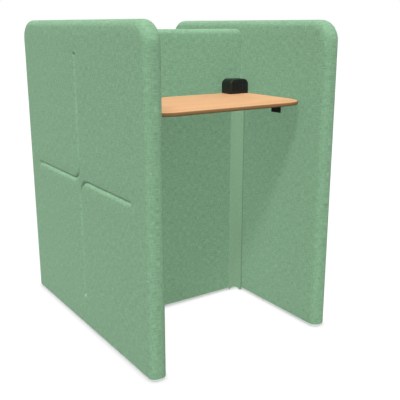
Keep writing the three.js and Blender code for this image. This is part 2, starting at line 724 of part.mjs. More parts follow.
// Half a pod: one side panel, one face of the middle panel and everything in one niche.
// The other half is the same, turned half a turn about the middle, so its names change ends.
function halfPod(names) {
  const { side, far, niche } = names;
  const half = new THREE.Group();
  half.add(sidePanel(names), middlePad(niche), worktop(niche));
  studHeights().forEach((z, i) => half.add(joiningStud(`${side}_joining_stud_${i + 1}`, z)));
  bracketPlaces(side, far).forEach((place) => half.add(bracketSet(niche, place)));
  half.add(boxHousing(niche), socketModule(niche), usbModule(niche));
  half.add(cableSpigot(niche), spigotNut(niche), cableDuct(niche));
  return half;
}

const pod = new THREE.Group();
const frontHalf = halfPod({ side: 'left', far: 'right', niche: 'front', beyond: 'rear' });
const rearHalf = halfPod({ side: 'right', far: 'left', niche: 'rear', beyond: 'front' });
rearHalf.rotation.z = Math.PI;
pod.add(frontHalf, rearHalf, middleCore(), middleBase());

export default pod;
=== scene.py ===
# %% [markdown]
# # An acoustic office pod
# The pod has two long padded side panels and a padded middle panel between them, so that its plan is
# an H. Each of the two niches has a worktop at standing height, a black power box in one corner and a
# cable duct below it. The CAD model gives every size and place, and this lesson dresses it: soft
# covers by cloth simulation, hard pieces by edit-mode modelling, and finishes from shader nodes.

# %% Load the CAD frame
import math

import bmesh
import bpy
import numpy as np
from mathutils import Matrix, Vector


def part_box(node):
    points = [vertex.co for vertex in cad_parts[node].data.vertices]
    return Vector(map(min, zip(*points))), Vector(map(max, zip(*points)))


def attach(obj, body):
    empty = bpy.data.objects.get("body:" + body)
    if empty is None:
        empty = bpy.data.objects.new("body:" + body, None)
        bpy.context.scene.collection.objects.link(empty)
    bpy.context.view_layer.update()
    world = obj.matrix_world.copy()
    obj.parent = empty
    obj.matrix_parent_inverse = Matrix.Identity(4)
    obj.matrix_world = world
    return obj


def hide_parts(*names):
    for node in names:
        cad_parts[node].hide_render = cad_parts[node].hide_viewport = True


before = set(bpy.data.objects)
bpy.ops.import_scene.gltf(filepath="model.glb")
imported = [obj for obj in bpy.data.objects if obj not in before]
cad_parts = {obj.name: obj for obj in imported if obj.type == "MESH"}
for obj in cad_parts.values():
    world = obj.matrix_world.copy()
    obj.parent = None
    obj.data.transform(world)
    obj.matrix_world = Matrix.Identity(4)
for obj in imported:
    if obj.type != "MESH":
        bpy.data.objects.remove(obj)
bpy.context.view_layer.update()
bpy.ops.object.select_all(action="DESELECT")

# %% [markdown]
# ## Camera
# The photograph was taken from the left of the front niche, a little below the panels' top edges. The
# place and the angles were worked out from the edges of the panels: three families of parallel edges
# fix where the camera looks, and the panel sizes fix how far away it is. The lens follows from the
# same fit. A sensor of 36 mm across a square picture keeps the numbers simple.

# %% Place the camera
CAMERA_PLACE = (-1.5932, -2.6071, 1.3797)
CAMERA_TURN = math.radians(34.11)
CAMERA_PITCH = math.radians(15.265)
LENS_MM = 57.83
SENSOR_MM = 36

camera_data = bpy.data.cameras.new("photo_camera")
camera_data.lens = LENS_MM
camera_data.sensor_width = SENSOR_MM
camera = bpy.data.objects.new("photo_camera", camera_data)
camera.location = CAMERA_PLACE
camera.rotation_euler = (math.pi / 2 - CAMERA_PITCH, 0, -CAMERA_TURN)
bpy.context.scene.collection.objects.link(camera)
bpy.context.scene.camera = camera
print("camera at", CAMERA_PLACE, "lens", LENS_MM, "mm")

# %% [markdown]
# ## Colour and node helpers
# Colours are easiest to read as the 0 to 255 numbers that a picture editor shows, but shaders work in
# linear light, so one function turns one into the other. Small helpers add a node and link it in one
# line, which keeps the materials below short enough to read as recipes.


# %% Colour and node helpers
def linear(*rgb):
    """A screen colour, 0 to 255, as the linear colour that a shader socket takes."""
    return tuple(
        c / 255 / 12.92 if c <= 10 else ((c / 255 + 0.055) / 1.055) ** 2.4 for c in rgb
    ) + (1.0,)


def feed(tree, socket, value):
    """Links an output to the socket, or sets the socket to a plain value."""
    if isinstance(value, bpy.types.NodeSocket):
        tree.links.new(value, socket)
    else:
        socket.default_value = value


def feed_all(tree, node, **sockets):
    """Feeds a node's sockets by name, with underscores for the spaces in the names."""
    for label, value in sockets.items():
        feed(tree, node.inputs[label.replace("_", " ")], value)
    return node


def add_node(tree, kind, **sockets):
    """A new shader node with its named sockets fed."""
    return feed_all(tree, tree.nodes.new("ShaderNode" + kind), **sockets)


def calculate(tree, operation, *values):
    """The output of one Math node."""
    node = add_node(tree, "Math")
    node.operation = operation
    for socket, value in zip(node.inputs, values):
        feed(tree, socket, value)
    return node.outputs[0]


def stretched(tree, vector, scale):
    """The vector with its axes multiplied, so that a texture is drawn out along the small ones."""
    node = add_node(tree, "VectorMath")
    node.operation = "MULTIPLY"
    feed(tree, node.inputs[0], vector)
    feed(tree, node.inputs[1], scale)
    return node.outputs[0]


def noise(tree, vector, scale, detail=2.0):
    """A noise value around 0.5."""
    return add_node(tree, "TexNoise", Vector=vector, Scale=scale, Detail=detail).outputs["Fac"]


def weighted_sum(tree, centre, parts):
    """centre plus each part's departure from 0.5, times its weight."""
    total = centre
    for value, weight in parts:
        away = calculate(tree, "SUBTRACT", value, 0.5)
        total = calculate(tree, "MULTIPLY_ADD", away, weight, total)
    return total


def blend_colours(tree, factor, dark, light):
    """A colour between dark and light, chosen by a factor."""
    node = add_node(tree, "Mix")
    node.data_type = "RGBA"
    for number, value in ((0, factor), (6, dark), (7, light)):
        feed(tree, node.inputs[number], value)
    return node.outputs[2]


def remap(tree, value, low, high):
    """A 0 to 1 value stretched to run from low to high."""
    return add_node(tree, "MapRange", Value=value, To_Min=low, To_Max=high).outputs["Result"]


def bump(tree, height, strength, distance):
    """A surface normal roughened by a height."""
    node = add_node(tree, "Bump", Height=height, Strength=strength, Distance=distance)
    return node.outputs["Normal"]


def start_group(name, inputs, outputs):
    """A node group with named sockets, and its two end nodes. Only Vector is not a plain value."""
    group = bpy.data.node_groups.new(name, "ShaderNodeTree")
    for way, labels in (("INPUT", inputs), ("OUTPUT", outputs)):
        for label in labels:
            kind = "NodeSocketVector" if label == "Vector" else "NodeSocketFloat"
            group.interface.new_socket(name=label, in_out=way, socket_type=kind)
    return group, group.nodes.new("NodeGroupInput"), group.nodes.new("NodeGroupOutput")


def use_group(tree, group, **sockets):
    """Places a node group, feeds its inputs and gives its outputs."""
    node = add_node(tree, "Group")
    node.node_tree = group
    return feed_all(tree, node, **sockets).outputs


def start_material(name, roughness, specular):
    """A material with its Principled shader, whose constant sockets are set right away."""
    material = bpy.data.materials.new(name)
    material.use_nodes = True
    tree = material.node_tree
    shader = tree.nodes["Principled BSDF"]
    feed_all(tree, shader, Roughness=roughness, Specular_IOR_Level=specular)
    return material, tree, shader


def place_of(tree, kind="Object"):
    """The surface's own coordinates: Object, or UV where a pattern follows the cloth."""
    return add_node(tree, "TexCoord").outputs[kind]


print("node helpers ready")

# %% [markdown]
# ## The upholstery cloth
# The panels are covered in a sage-green melange: yarns of slightly different greens in a plain weave.
# From a few metres the yarns melt into soft upright and level streaks, and from close by single threads
# show. A painted texture could not do both, so the weave is calculated: two sets of threads pass over
# and under each other, each thread has a tone of its own, and longer slubs and faint clouds lie on top.
# The group reads a UV map in metres, so that the threads follow the cloth round the panels' edges.

# %% Weave node group
FUZZ_GRAIN, FUZZ_SHARE = 2.2, 0.5
THREAD_STRETCH, THREAD_GRAIN = (1.0, 0.05), 0.9
SLUB_STRETCH = (0.19, 0.045)
CLOUD_GRAIN = 0.035
THREAD_SHARE, WOVEN_SHARE, CLOUD_SHARE = 1.0, 0.3, 0.15
WARP_SHARE, WEFT_SHARE = 0.85, 0.9


def build_weave():
    group, inlet, outlet = start_group("melange_weave", ["Vector", "Threads"], ["Tone", "Height"])
    threads = stretched(group, inlet.outputs["Vector"], inlet.outputs["Threads"])
    split = add_node(group, "SeparateXYZ", Vector=threads)
    across, up = split.outputs["X"], split.outputs["Y"]
    cell = calculate(group, "ADD", calculate(group, "FLOOR", across), calculate(group, "FLOOR", up))
    over = calculate(group, "FLOORED_MODULO", cell, 2.0)
    under = calculate(group, "SUBTRACT", 1.0, over)

    def on_top(warp, weft):
        """The warp's value where the warp lies on top, and the weft's elsewhere."""
        shown = [calculate(group, "MULTIPLY", *pair) for pair in ((warp, over), (weft, under))]
        return calculate(group, "ADD", *shown)

    def round_thread(way):
        """The height of a round thread, across its width."""
        wave = calculate(group, "SINE", calculate(group, "MULTIPLY", way, math.pi))
        return calculate(group, "ABSOLUTE", wave)

    def drawn_noise(stretch, grain, detail):
        """Noise drawn out along the warp, and the same along the weft."""
        thin, long = stretch
        ways = (thin, long, 1.0), (long, thin, 1.0)
        return [noise(group, stretched(group, threads, way), grain, detail) for way in ways]

    woven = on_top(round_thread(across), round_thread(up))
    height = weighted_sum(group, woven, [(noise(group, threads, FUZZ_GRAIN), FUZZ_SHARE)])
    thread = on_top(*drawn_noise(THREAD_STRETCH, THREAD_GRAIN, detail=0.0))
    warp_slub, weft_slub = drawn_noise(SLUB_STRETCH, 1.0, detail=2.0)
    cloud = noise(group, threads, CLOUD_GRAIN, detail=3.0)
    tones = [(thread, THREAD_SHARE), (woven, WOVEN_SHARE)]
    tones += [(warp_slub, WARP_SHARE), (weft_slub, WEFT_SHARE), (cloud, CLOUD_SHARE)]
    feed_all(group, outlet, Tone=weighted_sum(group, 0.5, tones), Height=height)
    return group


weave = build_weave()
print("weave group with", len(weave.nodes), "nodes")

# %% [markdown]
# ## Cloth materials
# Each material colours the weave between a dark and a light green. The light that the cloth throws on
# other pieces is kept greyer than the cloth itself, because the photograph shows hardly any green bounce.
# In the tight fold of a cable duct the cloth is darkened further by ambient occlusion: painted shade.

# %% Cloth materials
THREADS_PER_METRE = 950
CLOTH_ROUGH, CLOTH_SPECULAR = 0.93, 0.18
CLOTH_BUMP, CLOTH_BUMP_REACH = 0.45, 0.0007
SHEEN, SHEEN_ROUGH = 0.08, 0.55
CLOTH_BOUNCE = linear(134, 140, 134)
# Painted shade in the duct's tight fold: how far ambient occlusion looks, and how much tone it takes
# away.
FOLD_SHADE_REACH = 0.02
FOLD_SHADE_DARK = 2.4
# The duct's cloth is the panels' cloth painted lighter: painted light for its slanted face.
DUCT_LIT_TONES = linear(99, 132, 102), linear(141, 178, 145)


def passed_on(tree, colour, quiet):
    """The colour that is seen, or the quiet one for the light that the surface throws on others."""
    bounced = add_node(tree, "LightPath").outputs["Is Diffuse Ray"]
    return blend_colours(tree, bounced, colour, quiet)


def build_cloth(name, dark, light, fold_shade=0.0):
    material, tree, shader = start_material(name, CLOTH_ROUGH, CLOTH_SPECULAR)
    cloth = use_group(tree, weave, Vector=place_of(tree, "UV"), Threads=THREADS_PER_METRE)
    tone = cloth["Tone"]
    # Painted shade: ambient occlusion takes tone away where the cloth lies in a tight fold.
    if fold_shade:
        fold_occlusion = add_node(tree, "AmbientOcclusion", Distance=FOLD_SHADE_REACH)
        tone = calculate(tree, "SUBTRACT", tone, remap(tree, fold_occlusion.outputs["AO"], fold_shade, 0.0))
    colour = blend_colours(tree, tone, dark, light)
    feed_all(
        tree,
        shader,
        Base_Color=passed_on(tree, colour, CLOTH_BOUNCE),
        Normal=bump(tree, cloth["Height"], CLOTH_BUMP, CLOTH_BUMP_REACH),
        Sheen_Weight=SHEEN,
        Sheen_Roughness=SHEEN_ROUGH,
    )
    return material


sage_cloth = build_cloth("sage_cloth", linear(93, 129, 98), linear(134, 172, 140))
# A lighter copy of the panels' cloth, with painted light.
duct_lit_cloth = build_cloth("duct_lit_cloth", *DUCT_LIT_TONES)
duct_fold_shade = build_cloth("duct_fold_shade", *DUCT_LIT_TONES, FOLD_SHADE_DARK)
print("cloth materials", sage_cloth.name, duct_lit_cloth.name, duct_fold_shade.name)

# %% [markdown]
# ## Beech board
# The worktops are thin beech boards: pale orange wood with long, quiet grain and the short darker flecks
# that beech is known for. The grain is noise drawn out along the board. The edge is a darker brown, with
# the same grain: partly its stain, partly painted shade. The light that a board throws on the cloth
# behind it is kept grey and weak, because orange light would turn the green cloth yellow.

# %% Beech material
BAND_STRETCH, BAND_SHARE = (0.9, 9.0, 9.0), 0.75
LINE_STRETCH, LINE_SHARE = (6.0, 260.0, 260.0), 0.55
FLECK_STRETCH, FLECK_SHARE = (90.0, 900.0, 900.0), -0.22
FLECK_FROM = 0.66
BOARD_ROUGH, BOARD_SPECULAR = 0.55, 0.2
BOARD_GLOSS = (0.6, 0.5)
BOARD_BUMP, BOARD_BUMP_REACH = 0.15, 0.0002
BOARD_BOUNCE = linear(96, 100, 92)


def build_grain():
    group, inlet, outlet = start_group("beech_grain", ["Vector"], ["Tone", "Height"])
    place = inlet.outputs["Vector"]
    band = noise(group, stretched(group, place, BAND_STRETCH), 1.0, detail=3.0)
    line = noise(group, stretched(group, place, LINE_STRETCH), 1.0)
    fleck = noise(group, stretched(group, place, FLECK_STRETCH), 1.0, detail=0.0)
    dash = calculate(group, "GREATER_THAN", fleck, FLECK_FROM)
    tone = weighted_sum(group, 0.5, [(band, BAND_SHARE), (line, LINE_SHARE)])
    tone = calculate(group, "MULTIPLY_ADD", dash, FLECK_SHARE, tone)
    feed_all(group, outlet, Tone=tone, Height=line)
    return group


beech_grain = build_grain()


def build_beech(name, dark, light):
    material, tree, shader = start_material(name, BOARD_ROUGH, BOARD_SPECULAR)
    grain = use_group(tree, beech_grain, Vector=place_of(tree))
    colour = blend_colours(tree, grain["Tone"], dark, light)
    feed_all(
        tree,
        shader,
        Base_Color=passed_on(tree, colour, BOARD_BOUNCE),
        Roughness=remap(tree, grain["Tone"], *BOARD_GLOSS),
        Normal=bump(tree, grain["Height"], BOARD_BUMP, BOARD_BUMP_REACH),
    )
    return material


beech_face = build_beech("beech_face", linear(176, 129, 90), linear(210, 166, 126))
# The edge's darker brown is partly stain and partly painted shade.
beech_edge = build_beech("beech_edge", linear(104, 76, 46), linear(128, 98, 64))
print("board materials", beech_face.name, beech_edge.name)

# %% [markdown]
# ## Plastics and metals
# The power box, the nuts and the glides are black plastic with the fine, even texture that a
# spark-eroded mould leaves. The brackets have a matt powder coat, which is rougher and slightly wavy,
# like an orange's skin. The base strips are satin pale grey. All of them share one group: a fine grain
# for the height and a slow drift for the tone and the gloss, each material with values of its own.

# %% Plastic and metal materials
DRIFT_GRAIN = 18.0
MOULD_BUMP_REACH = 0.0003
CHIP_ROUGH, CHIP_SPECULAR = 0.85, 0.2
CHIP_STRETCH, CHIP_GRAIN = (1.0, 1.0, 1.6), 260
CHIP_BUMP, CHIP_BUMP_REACH = 0.4, 0.0004


def build_mould_texture():
    group, inlet, outlet = start_group("mould_texture", ["Vector", "Grain"], ["Height", "Drift"])
    place = inlet.outputs["Vector"]
    fine = noise(group, stretched(group, place, inlet.outputs["Grain"]), 1.0)
    feed_all(group, outlet, Height=fine, Drift=noise(group, place, DRIFT_GRAIN, detail=3.0))
    return group


mould_texture = build_mould_texture()


def build_moulded(name, dark, light, grain, strength, gloss, metallic=0.0, specular=0.2):
    material, tree, shader = start_material(name, gloss[1], specular)
    texture = use_group(tree, mould_texture, Vector=place_of(tree), Grain=grain)
    feed_all(
        tree,
        shader,
        Base_Color=blend_colours(tree, texture["Drift"], linear(*dark), linear(*light)),
        Roughness=remap(tree, texture["Drift"], *gloss),
        Normal=bump(tree, texture["Height"], strength, MOULD_BUMP_REACH),
        Metallic=metallic,
    )
    return material


def build_chipboard():
    material, tree, shader = start_material("chipboard", CHIP_ROUGH, CHIP_SPECULAR)
    place = stretched(tree, place_of(tree), CHIP_STRETCH)
    cells = add_node(tree, "TexVoronoi", Vector=place, Scale=CHIP_GRAIN)
    split = add_node(tree, "SeparateColor", Color=cells.outputs["Color"])
    colour = blend_colours(tree, split.outputs[0], linear(141, 108, 72), linear(196, 162, 118))
    normal = bump(tree, split.outputs[1], CHIP_BUMP, CHIP_BUMP_REACH)
    feed_all(tree, shader, Base_Color=colour, Normal=normal)
    return material


# Each has a dark and a light tone, grains in a metre, a bump and a range of gloss.
black_plastic = build_moulded(
    "black_plastic", (8, 8, 8), (17, 17, 16), 2600, 0.35, (0.48, 0.36), specular=0.42
)
black_module = build_moulded("black_module", (19, 19, 19), (30, 30, 30), 3200, 0.2, (0.42, 0.28))
powder_black = build_moulded("powder_black", (9, 9, 9), (18, 18, 17), 900, 0.45, (0.62, 0.5))
violet_plastic = build_moulded("violet_plastic", (58, 46, 78), (74, 60, 96), 2600, 0.2, (0.5, 0.4))
pale_strip = build_moulded("pale_strip", (190, 199, 191), (208, 216, 209), 1500, 0.15, (0.55, 0.45))
zinc_plate = build_moulded("zinc_plate", (176, 180, 184), (206, 209, 212), 1800, 0.2, (0.45, 0.3), 1.0)
chipboard = build_chipboard()
print("hard finishes", len([m for m in bpy.data.materials if m.users == 0]), "waiting for their pieces")

# %% [markdown]
# ## Modelling helpers
# Hard pieces are modelled as by hand: a primitive is added at its size and place, faces or edges are
# picked by where they lie, and operators shape them. These helpers only save typing. A piece's scale and
# place are applied at once, so that its object sits at the origin and its place is in its mesh.

# %% Modelling helpers
NEAR = 1e-4
STRAIGHT = 0.999
CUT_PAST = 0.01
UP = Vector((0, 0, 1))


def only(piece):
    """Makes the piece the one selected, active object."""
    bpy.ops.object.select_all(action="DESELECT")
    piece.select_set(True)
    bpy.context.view_layer.objects.active = piece


def settle(piece, name):
    """Names a new primitive and moves its place, turn and scale into its mesh."""
    only(piece)
    bpy.ops.object.transform_apply(location=True, rotation=True, scale=True)
    piece.name = name
    piece.data.name = name
    return piece


def middle_of(low, high):
    return (low + high) / 2


def start_box(name, low, high):
    """A cube primitive stretched between two corners."""
    low, high = Vector(low), Vector(high)
    bpy.ops.mesh.primitive_cube_add(size=1, location=middle_of(low, high))
    bpy.context.object.scale = high - low
    return settle(bpy.context.object, name)


def start_rod(name, radius, start, end, sides=32):
    """A cylinder primitive between two points."""
    start, end = Vector(start), Vector(end)
    along = end - start
    bpy.ops.mesh.primitive_cylinder_add(
        vertices=sides, radius=radius, depth=along.length, location=middle_of(start, end)
    )
    rod = bpy.context.object
    rod.rotation_mode = "QUATERNION"
    rod.rotation_quaternion = UP.rotation_difference(along)
    return settle(rod, name)


def edit(piece):
    only(piece)
    bpy.ops.object.mode_set(mode="EDIT")


def leave():
    bpy.ops.object.mode_set(mode="OBJECT")


def pick(piece, kind, test):
    """In edit mode, selects the faces or edges that pass the test."""
    bpy.ops.mesh.select_mode(type=kind)
    bpy.ops.mesh.select_all(action="DESELECT")
    shape = bmesh.from_edit_mesh(piece.data)
    for item in shape.faces if kind == "FACE" else shape.edges:
        item.select_set(bool(test(item)))
    bmesh.update_edit_mesh(piece.data)


def pull(*way):
    """Extrudes what is selected, and moves it."""
    bpy.ops.mesh.extrude_region_move(TRANSFORM_OT_translate={"value": way})


def face_outwards(piece):
    edit(piece)
    bpy.ops.mesh.select_all(action="SELECT")
    bpy.ops.mesh.normals_make_consistent(inside=False)
    leave()


def edge_middle(edge):
    return middle_of(edge.verts[0].co, edge.verts[1].co)


def edge_along(edge, axis):
    """Whether an edge runs along an axis, 0 to 2."""
    run = edge.verts[1].co - edge.verts[0].co
    return run.length > 0 and abs(run[axis]) > STRAIGHT * run.length


def round_edges(piece, test, width, segments):
    """Rounds the edges that pass the test."""
    edit(piece)
    pick(piece, "EDGE", test)
    bpy.ops.mesh.bevel(offset=width, segments=segments, affect="EDGES")
    leave()


def apply_modifier(piece, kind, **settings):
    only(piece)
    modifier = piece.modifiers.new(kind.lower(), kind)
    for key, value in settings.items():
        setattr(modifier, key, value)
    bpy.ops.object.modifier_apply(modifier=modifier.name)


def cut_out(piece, cutter):
    """Cuts the cutter's shape out of the piece and deletes the cutter."""
    apply_modifier(piece, "BOOLEAN", operation="DIFFERENCE", object=cutter, solver="EXACT")
    bpy.data.objects.remove(cutter)


def drill(piece, centre, radius, low, high, sides=32):
    """Cuts an upright round hole between two heights."""
    ends = [(centre.x, centre.y, z) for z in (low, high)]
    cut_out(piece, start_rod("drill", radius, *ends, sides))


def soften(piece, width, segments=3, angle=30):
    """Rounds the piece's sharp edges a little, as every made edge is."""
    apply_modifier(
        piece,
        "BEVEL",
        width=width,
        segments=segments,
        limit_method="ANGLE",
        angle_limit=math.radians(angle),
        miter_outer="MITER_ARC",
    )


def copy_of(piece, name, turn=0.0, move=(0, 0, 0)):
    """A copy with its own mesh, turned about the pod's upright axis and moved."""
    twin = piece.copy()
    twin.data = piece.data.copy()
    twin.name = name
    twin.data.name = name
    bpy.context.scene.collection.objects.link(twin)
    twin.data.transform(Matrix.Translation(move) @ Matrix.Rotation(turn, 4, "Z"))
    twin.data.update()
    return twin


def two_finishes(piece, first, second, test):
    """Gives a piece two finishes, the second one on the faces that pass the test."""
    piece.data.materials.append(first)
    piece.data.materials.append(second)
    edit(piece)
    pick(piece, "FACE", test)
    piece.active_material_index = 1
    bpy.ops.object.material_slot_assign()
    leave()


def dress(piece, nodes, finish=None, body="pod", angle=35):
    """Gives a piece its finish and smooth shading, puts it under the body that carries it, and hides the
    CAD nodes it stands for.
    """
    if finish:
        piece.data.materials.append(finish)
    only(piece)
    bpy.ops.object.shade_smooth_by_angle(angle=math.radians(angle))
    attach(piece, body)
    if nodes:
        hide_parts(*nodes)


def dress_both(front, node, finish=None):
    """Copies a front piece into the rear niche, and dresses both for their own CAD nodes."""
    rear = copy_of(front, front.name.replace("front", "rear"), math.pi)
    for niche, piece in (("front", front), ("rear", rear)):
        dress(piece, [f"{niche}_{node}"] if node else [], finish)


print("modelling helpers ready")

# %% [markdown]
# ## Side panels: the cover
# A side panel is a hard board with foam on both sides, in one tight cloth cover. Its edges are fully
# round, its two top corners are rounded as well, and the cover is stapled under its foot. The cover is
# a grid laid on each face, bent round the corners and swept over the edges. The lines of the grid lie
# closer where the sewn channels will run. A UV map in metres is laid out with it, so that the cloth's
# threads stay upright and level, and bend over the edges as cloth does.
#
# The cover is pulled tight over the edges, so these keep their shape. The two faces are left free, and
# the foam will press them out a little.

# %% Sizes of the side panels
SWELL = 0.0015
EDGE_RADIUS = 0.031
CORNER_RADIUS = 0.090
HEM = 0.003
RIM_STEPS = 9

outer_low, outer_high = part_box("left_panel_outer_pad")
inner_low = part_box("left_panel_inner_pad")[0]
panel_outside = outer_low.x
panel_middle = (outer_high.x + inner_low.x) / 2
panel_foot = outer_low.z
panel_top = outer_high.z
face_half = outer_high.y - EDGE_RADIUS
face_top = panel_top - EDGE_RADIUS
face_corner = CORNER_RADIUS - EDGE_RADIUS
print("face of a side panel", round(2 * face_half, 3), "by", round(face_top - panel_foot, 3), "m")

# %% Grid of a cover
FINE_STEP = 0.002
ROUNDING = 1e-6


def grid_lines(low, high, coarse, bands=(), fine=FINE_STEP):
    """Lines from low to high, a coarse step apart, or a fine one inside the bands."""
    inside = {edge for band in bands for edge in band if low < edge < high}
    stops = sorted({low, high} | inside)
    lines = [low]
    for start, stop in zip(stops, stops[1:]):
        middle = (start + stop) / 2
        step = fine if any(a <= middle <= b for a, b in bands) else coarse
        count = max(1, math.ceil((stop - start) / step - ROUNDING))
        lines.extend(np.linspace(start, stop, count + 1)[1:])
    return np.array(lines)


def fall_back(past, radius):
    """How far a rounded edge has fallen back, some way past the start of its round."""
    past = np.clip(past, 0, radius)
    return radius - np.sqrt(np.maximum(radius**2 - past**2, 0))


def hem_tuck(z):
    """How far the cover draws in just above its foot."""
    return fall_back(HEM - (z - panel_foot), HEM)


def mesh_piece(name, points, faces, corner_uv):
    """A mesh object from points, faces and one UV for each face corner."""
    mesh = bpy.data.meshes.new(name)
    mesh.from_pydata(points.tolist(), [], faces)
    layer = mesh.uv_layers.new(name="cloth")
    layer.data.foreach_set("uv", np.asarray(corner_uv, dtype=np.float32).ravel())
    mesh.update()
    piece = bpy.data.objects.new(name, mesh)
    bpy.context.scene.collection.objects.link(piece)
    face_outwards(piece)
    return piece


print("grid lines", FINE_STEP, "m apart where they are finest")


# %% Cover of a side panel
def side_half(y_lines, z_lines, sign):
    """Points and cloth coordinates of one half of the cover: its face, then its rim, ring by ring."""
    y, z = np.meshgrid(y_lines, z_lines, indexing="ij")
    side = np.sign(y)
    a = np.clip((np.abs(y) - face_half + face_corner) / face_corner, 0, 1)
    b = np.clip((z - face_top + face_corner) / face_corner, 0, 1)
    out_y, out_z = side * a * np.sqrt(1 - b * b / 2), b * np.sqrt(1 - a * a / 2)
    flat_y = y - side * face_corner * a + face_corner * out_y
    flat_z = z - face_corner * b + face_corner * out_z
    tuck = hem_tuck(z)
    half_thick = panel_middle - panel_outside

    ny, nz = y.shape
    loop = [(0, j) for j in range(nz)]
    loop += [(i, nz - 1) for i in range(1, ny)]
    loop += [(ny - 1, j) for j in range(nz - 2, -1, -1)]
    rows, cols = np.array(loop).T
    y0, z0, ny0, nz0, low = (part[rows, cols] for part in (flat_y, flat_z, out_y, out_z, tuck))

    depth = [(half_thick - tuck).ravel()]
    ys, zs = [flat_y.ravel()], [flat_z.ravel()]
    uv = [np.stack([flat_y.ravel(), flat_z.ravel()], 1)]
    for step in range(1, RIM_STEPS + 1):
        turn = math.pi / 2 * step / RIM_STEPS
        reach = (EDGE_RADIUS - low) * math.sin(turn)
        depth.append(half_thick - low - (EDGE_RADIUS - low) * (1 - math.cos(turn)))
        ys.append(y0 + ny0 * reach)
        zs.append(z0 + nz0 * reach)
        uv.append(np.stack([y0 + ny0 * EDGE_RADIUS * turn, z0 + nz0 * EDGE_RADIUS * turn], 1))
    x = panel_middle - sign * np.concatenate(depth)
    points = np.stack([x, np.concatenate(ys), np.concatenate(zs)], 1)
    return points, np.concatenate(uv), np.array(loop)


def side_cover(name, y_lines, z_lines):
    """The whole closed cover of the left panel."""
    ny, nz = len(y_lines), len(z_lines)
    outer, uv, loop = side_half(y_lines, z_lines, 1)
    inner = side_half(y_lines, z_lines, -1)[0]
    size, ring = len(outer), len(loop)
    inner_uv = uv * (-1, 1) + (2 * face_half + 1, 0)
    seam_uv = np.vstack([uv, uv])
    edge = loop[:, 0] * nz + loop[:, 1]
    faces, corners = [], []

    def add(face, table, shift=0):
        faces.append([int(v) for v in face])
        corners.extend(table[v - shift] for v in face)

    for table, shift in ((uv, 0), (inner_uv, size)):
        for i in range(ny - 1):
            for j in range(nz - 1):
                v = shift + i * nz + j
                add([v, v + 1, v + nz + 1, v + nz], table, shift)
        previous = edge
        for step in range(RIM_STEPS):
            following = ny * nz + step * ring + np.arange(ring)
            for m in range(ring - 1):
                quad = [previous[m], following[m], following[m + 1], previous[m + 1]]
                add([shift + v for v in quad], table, shift)
            previous = following
    last = ny * nz + (RIM_STEPS - 1) * ring
    for v in range(last, last + ring - 1):
        add([v, size + v, size + v + 1, v + 1], seam_uv)
    for v in range(0, (ny - 1) * nz, nz):
        add([v, v + nz, size + v + nz, size + v], seam_uv)
    for m in (0, ring - 1):
        way = [edge[m]] + [ny * nz + step * ring + m for step in range(RIM_STEPS)]
        add(way + [size + v for v in reversed(way)], seam_uv)
    return mesh_piece(name, np.vstack([outer, inner]), faces, corners)


print("a side cover turns its edges in", 2 * RIM_STEPS, "steps")

# %% [markdown]
# ## Side panels: the sewn channels
# Two L-shaped channels are sewn into the outer face. Their upright legs lie on the panel's centre line
# and their level legs just above half its height, and each bends in a quarter circle. How deep the cloth
# is drawn in depends only on the distance from the channel's path, so a distance function shapes both:
# straight legs, bend and round ends come out alike. The second channel is the first turned half a turn.
# At the end of each upright leg the last stitches pull a small dimple.

# %% Channel shape
CHANNEL_REACH = 0.018
CHANNEL_DEPTH = 0.013
CHANNEL_LIFT = 0.004
CHANNEL_BEND = 0.072
CHANNEL_END_MARGIN = 0.150
CHANNEL_TOP_MARGIN = 0.148
DIMPLE_REACH = 0.012
DIMPLE_DEPTH = 0.007

channel_level = (panel_top + panel_foot) / 2 + CHANNEL_LIFT
channel_rise = (panel_top - panel_foot) / 2 - CHANNEL_TOP_MARGIN
channel_run = outer_high.y - CHANNEL_END_MARGIN


def distance_to_leg(y, z, start, end):
    """Distance from points to a straight leg between two points."""
    leg = np.subtract(end, start)
    along = ((y - start[0]) * leg[0] + (z - start[1]) * leg[1]) / (leg @ leg)
    along = np.clip(along, 0, 1)
    return np.hypot(y - start[0] - along * leg[0], z - start[1] - along * leg[1])


def distance_to_channel(y, z):
    """Distance from points on the outer face to the nearer of the two channels."""
    nearest = np.full(np.shape(y), np.inf)
    for turn in (1, -1):
        u, w = turn * y, turn * (z - channel_level)
        upright = distance_to_leg(u, w, (0, CHANNEL_BEND), (0, channel_rise))
        level = distance_to_leg(u, w, (CHANNEL_BEND, 0), (channel_run, 0))
        bend = np.abs(np.hypot(u - CHANNEL_BEND, w - CHANNEL_BEND) - CHANNEL_BEND)
        bend = np.where((u < CHANNEL_BEND) & (w < CHANNEL_BEND), bend, np.inf)
        nearest = np.minimum.reduce([nearest, upright, level, bend])
    return nearest


def channel_depth(distance):
    """A sewn groove: two lips roll in over a quarter round and meet at the seam on the path."""
    share = 1 - np.clip(distance / CHANNEL_REACH, 0, 1)
    return CHANNEL_DEPTH * (1 - np.sqrt(1 - share**2))


def end_dimple(y, z):
    """The small hollow that the last stitches draw at the end of each upright leg."""
    ends = [np.hypot(y, turn * (z - channel_level) - channel_rise) for turn in (1, -1)]
    return DIMPLE_DEPTH * (1 - np.clip(np.minimum(*ends) / DIMPLE_REACH, 0, 1))


print("channels rise", round(channel_rise, 3), "m and run", round(channel_run, 3), "m from the centre")

# %% [markdown]
# ## Cloth simulation
# Foam pushes a cover outwards, and where it is sewn or stapled it stays down. A coarse copy of the cover,
# the cage, is run through Blender's Cloth with some air pressure inside and no gravity. The points near
# the channels, round the edges and along the hem are pinned, and no point may swell further than foam
# gives. The fine cover is bound to the cage first and follows it, which is much quicker than a simulation
# of the fine cover itself.

# %% Cloth helper
CLOTH_FRAMES = 20
CLOTH_PRESSURE = 4.0
CLOTH_QUALITY = 6


def points_of(piece):
    flat = np.empty(len(piece.data.vertices) * 3)
    piece.data.vertices.foreach_get("co", flat)
    return flat.reshape(-1, 3)


def move_points(piece, points):
    piece.data.vertices.foreach_set("co", np.asarray(points).ravel())
    piece.data.update()


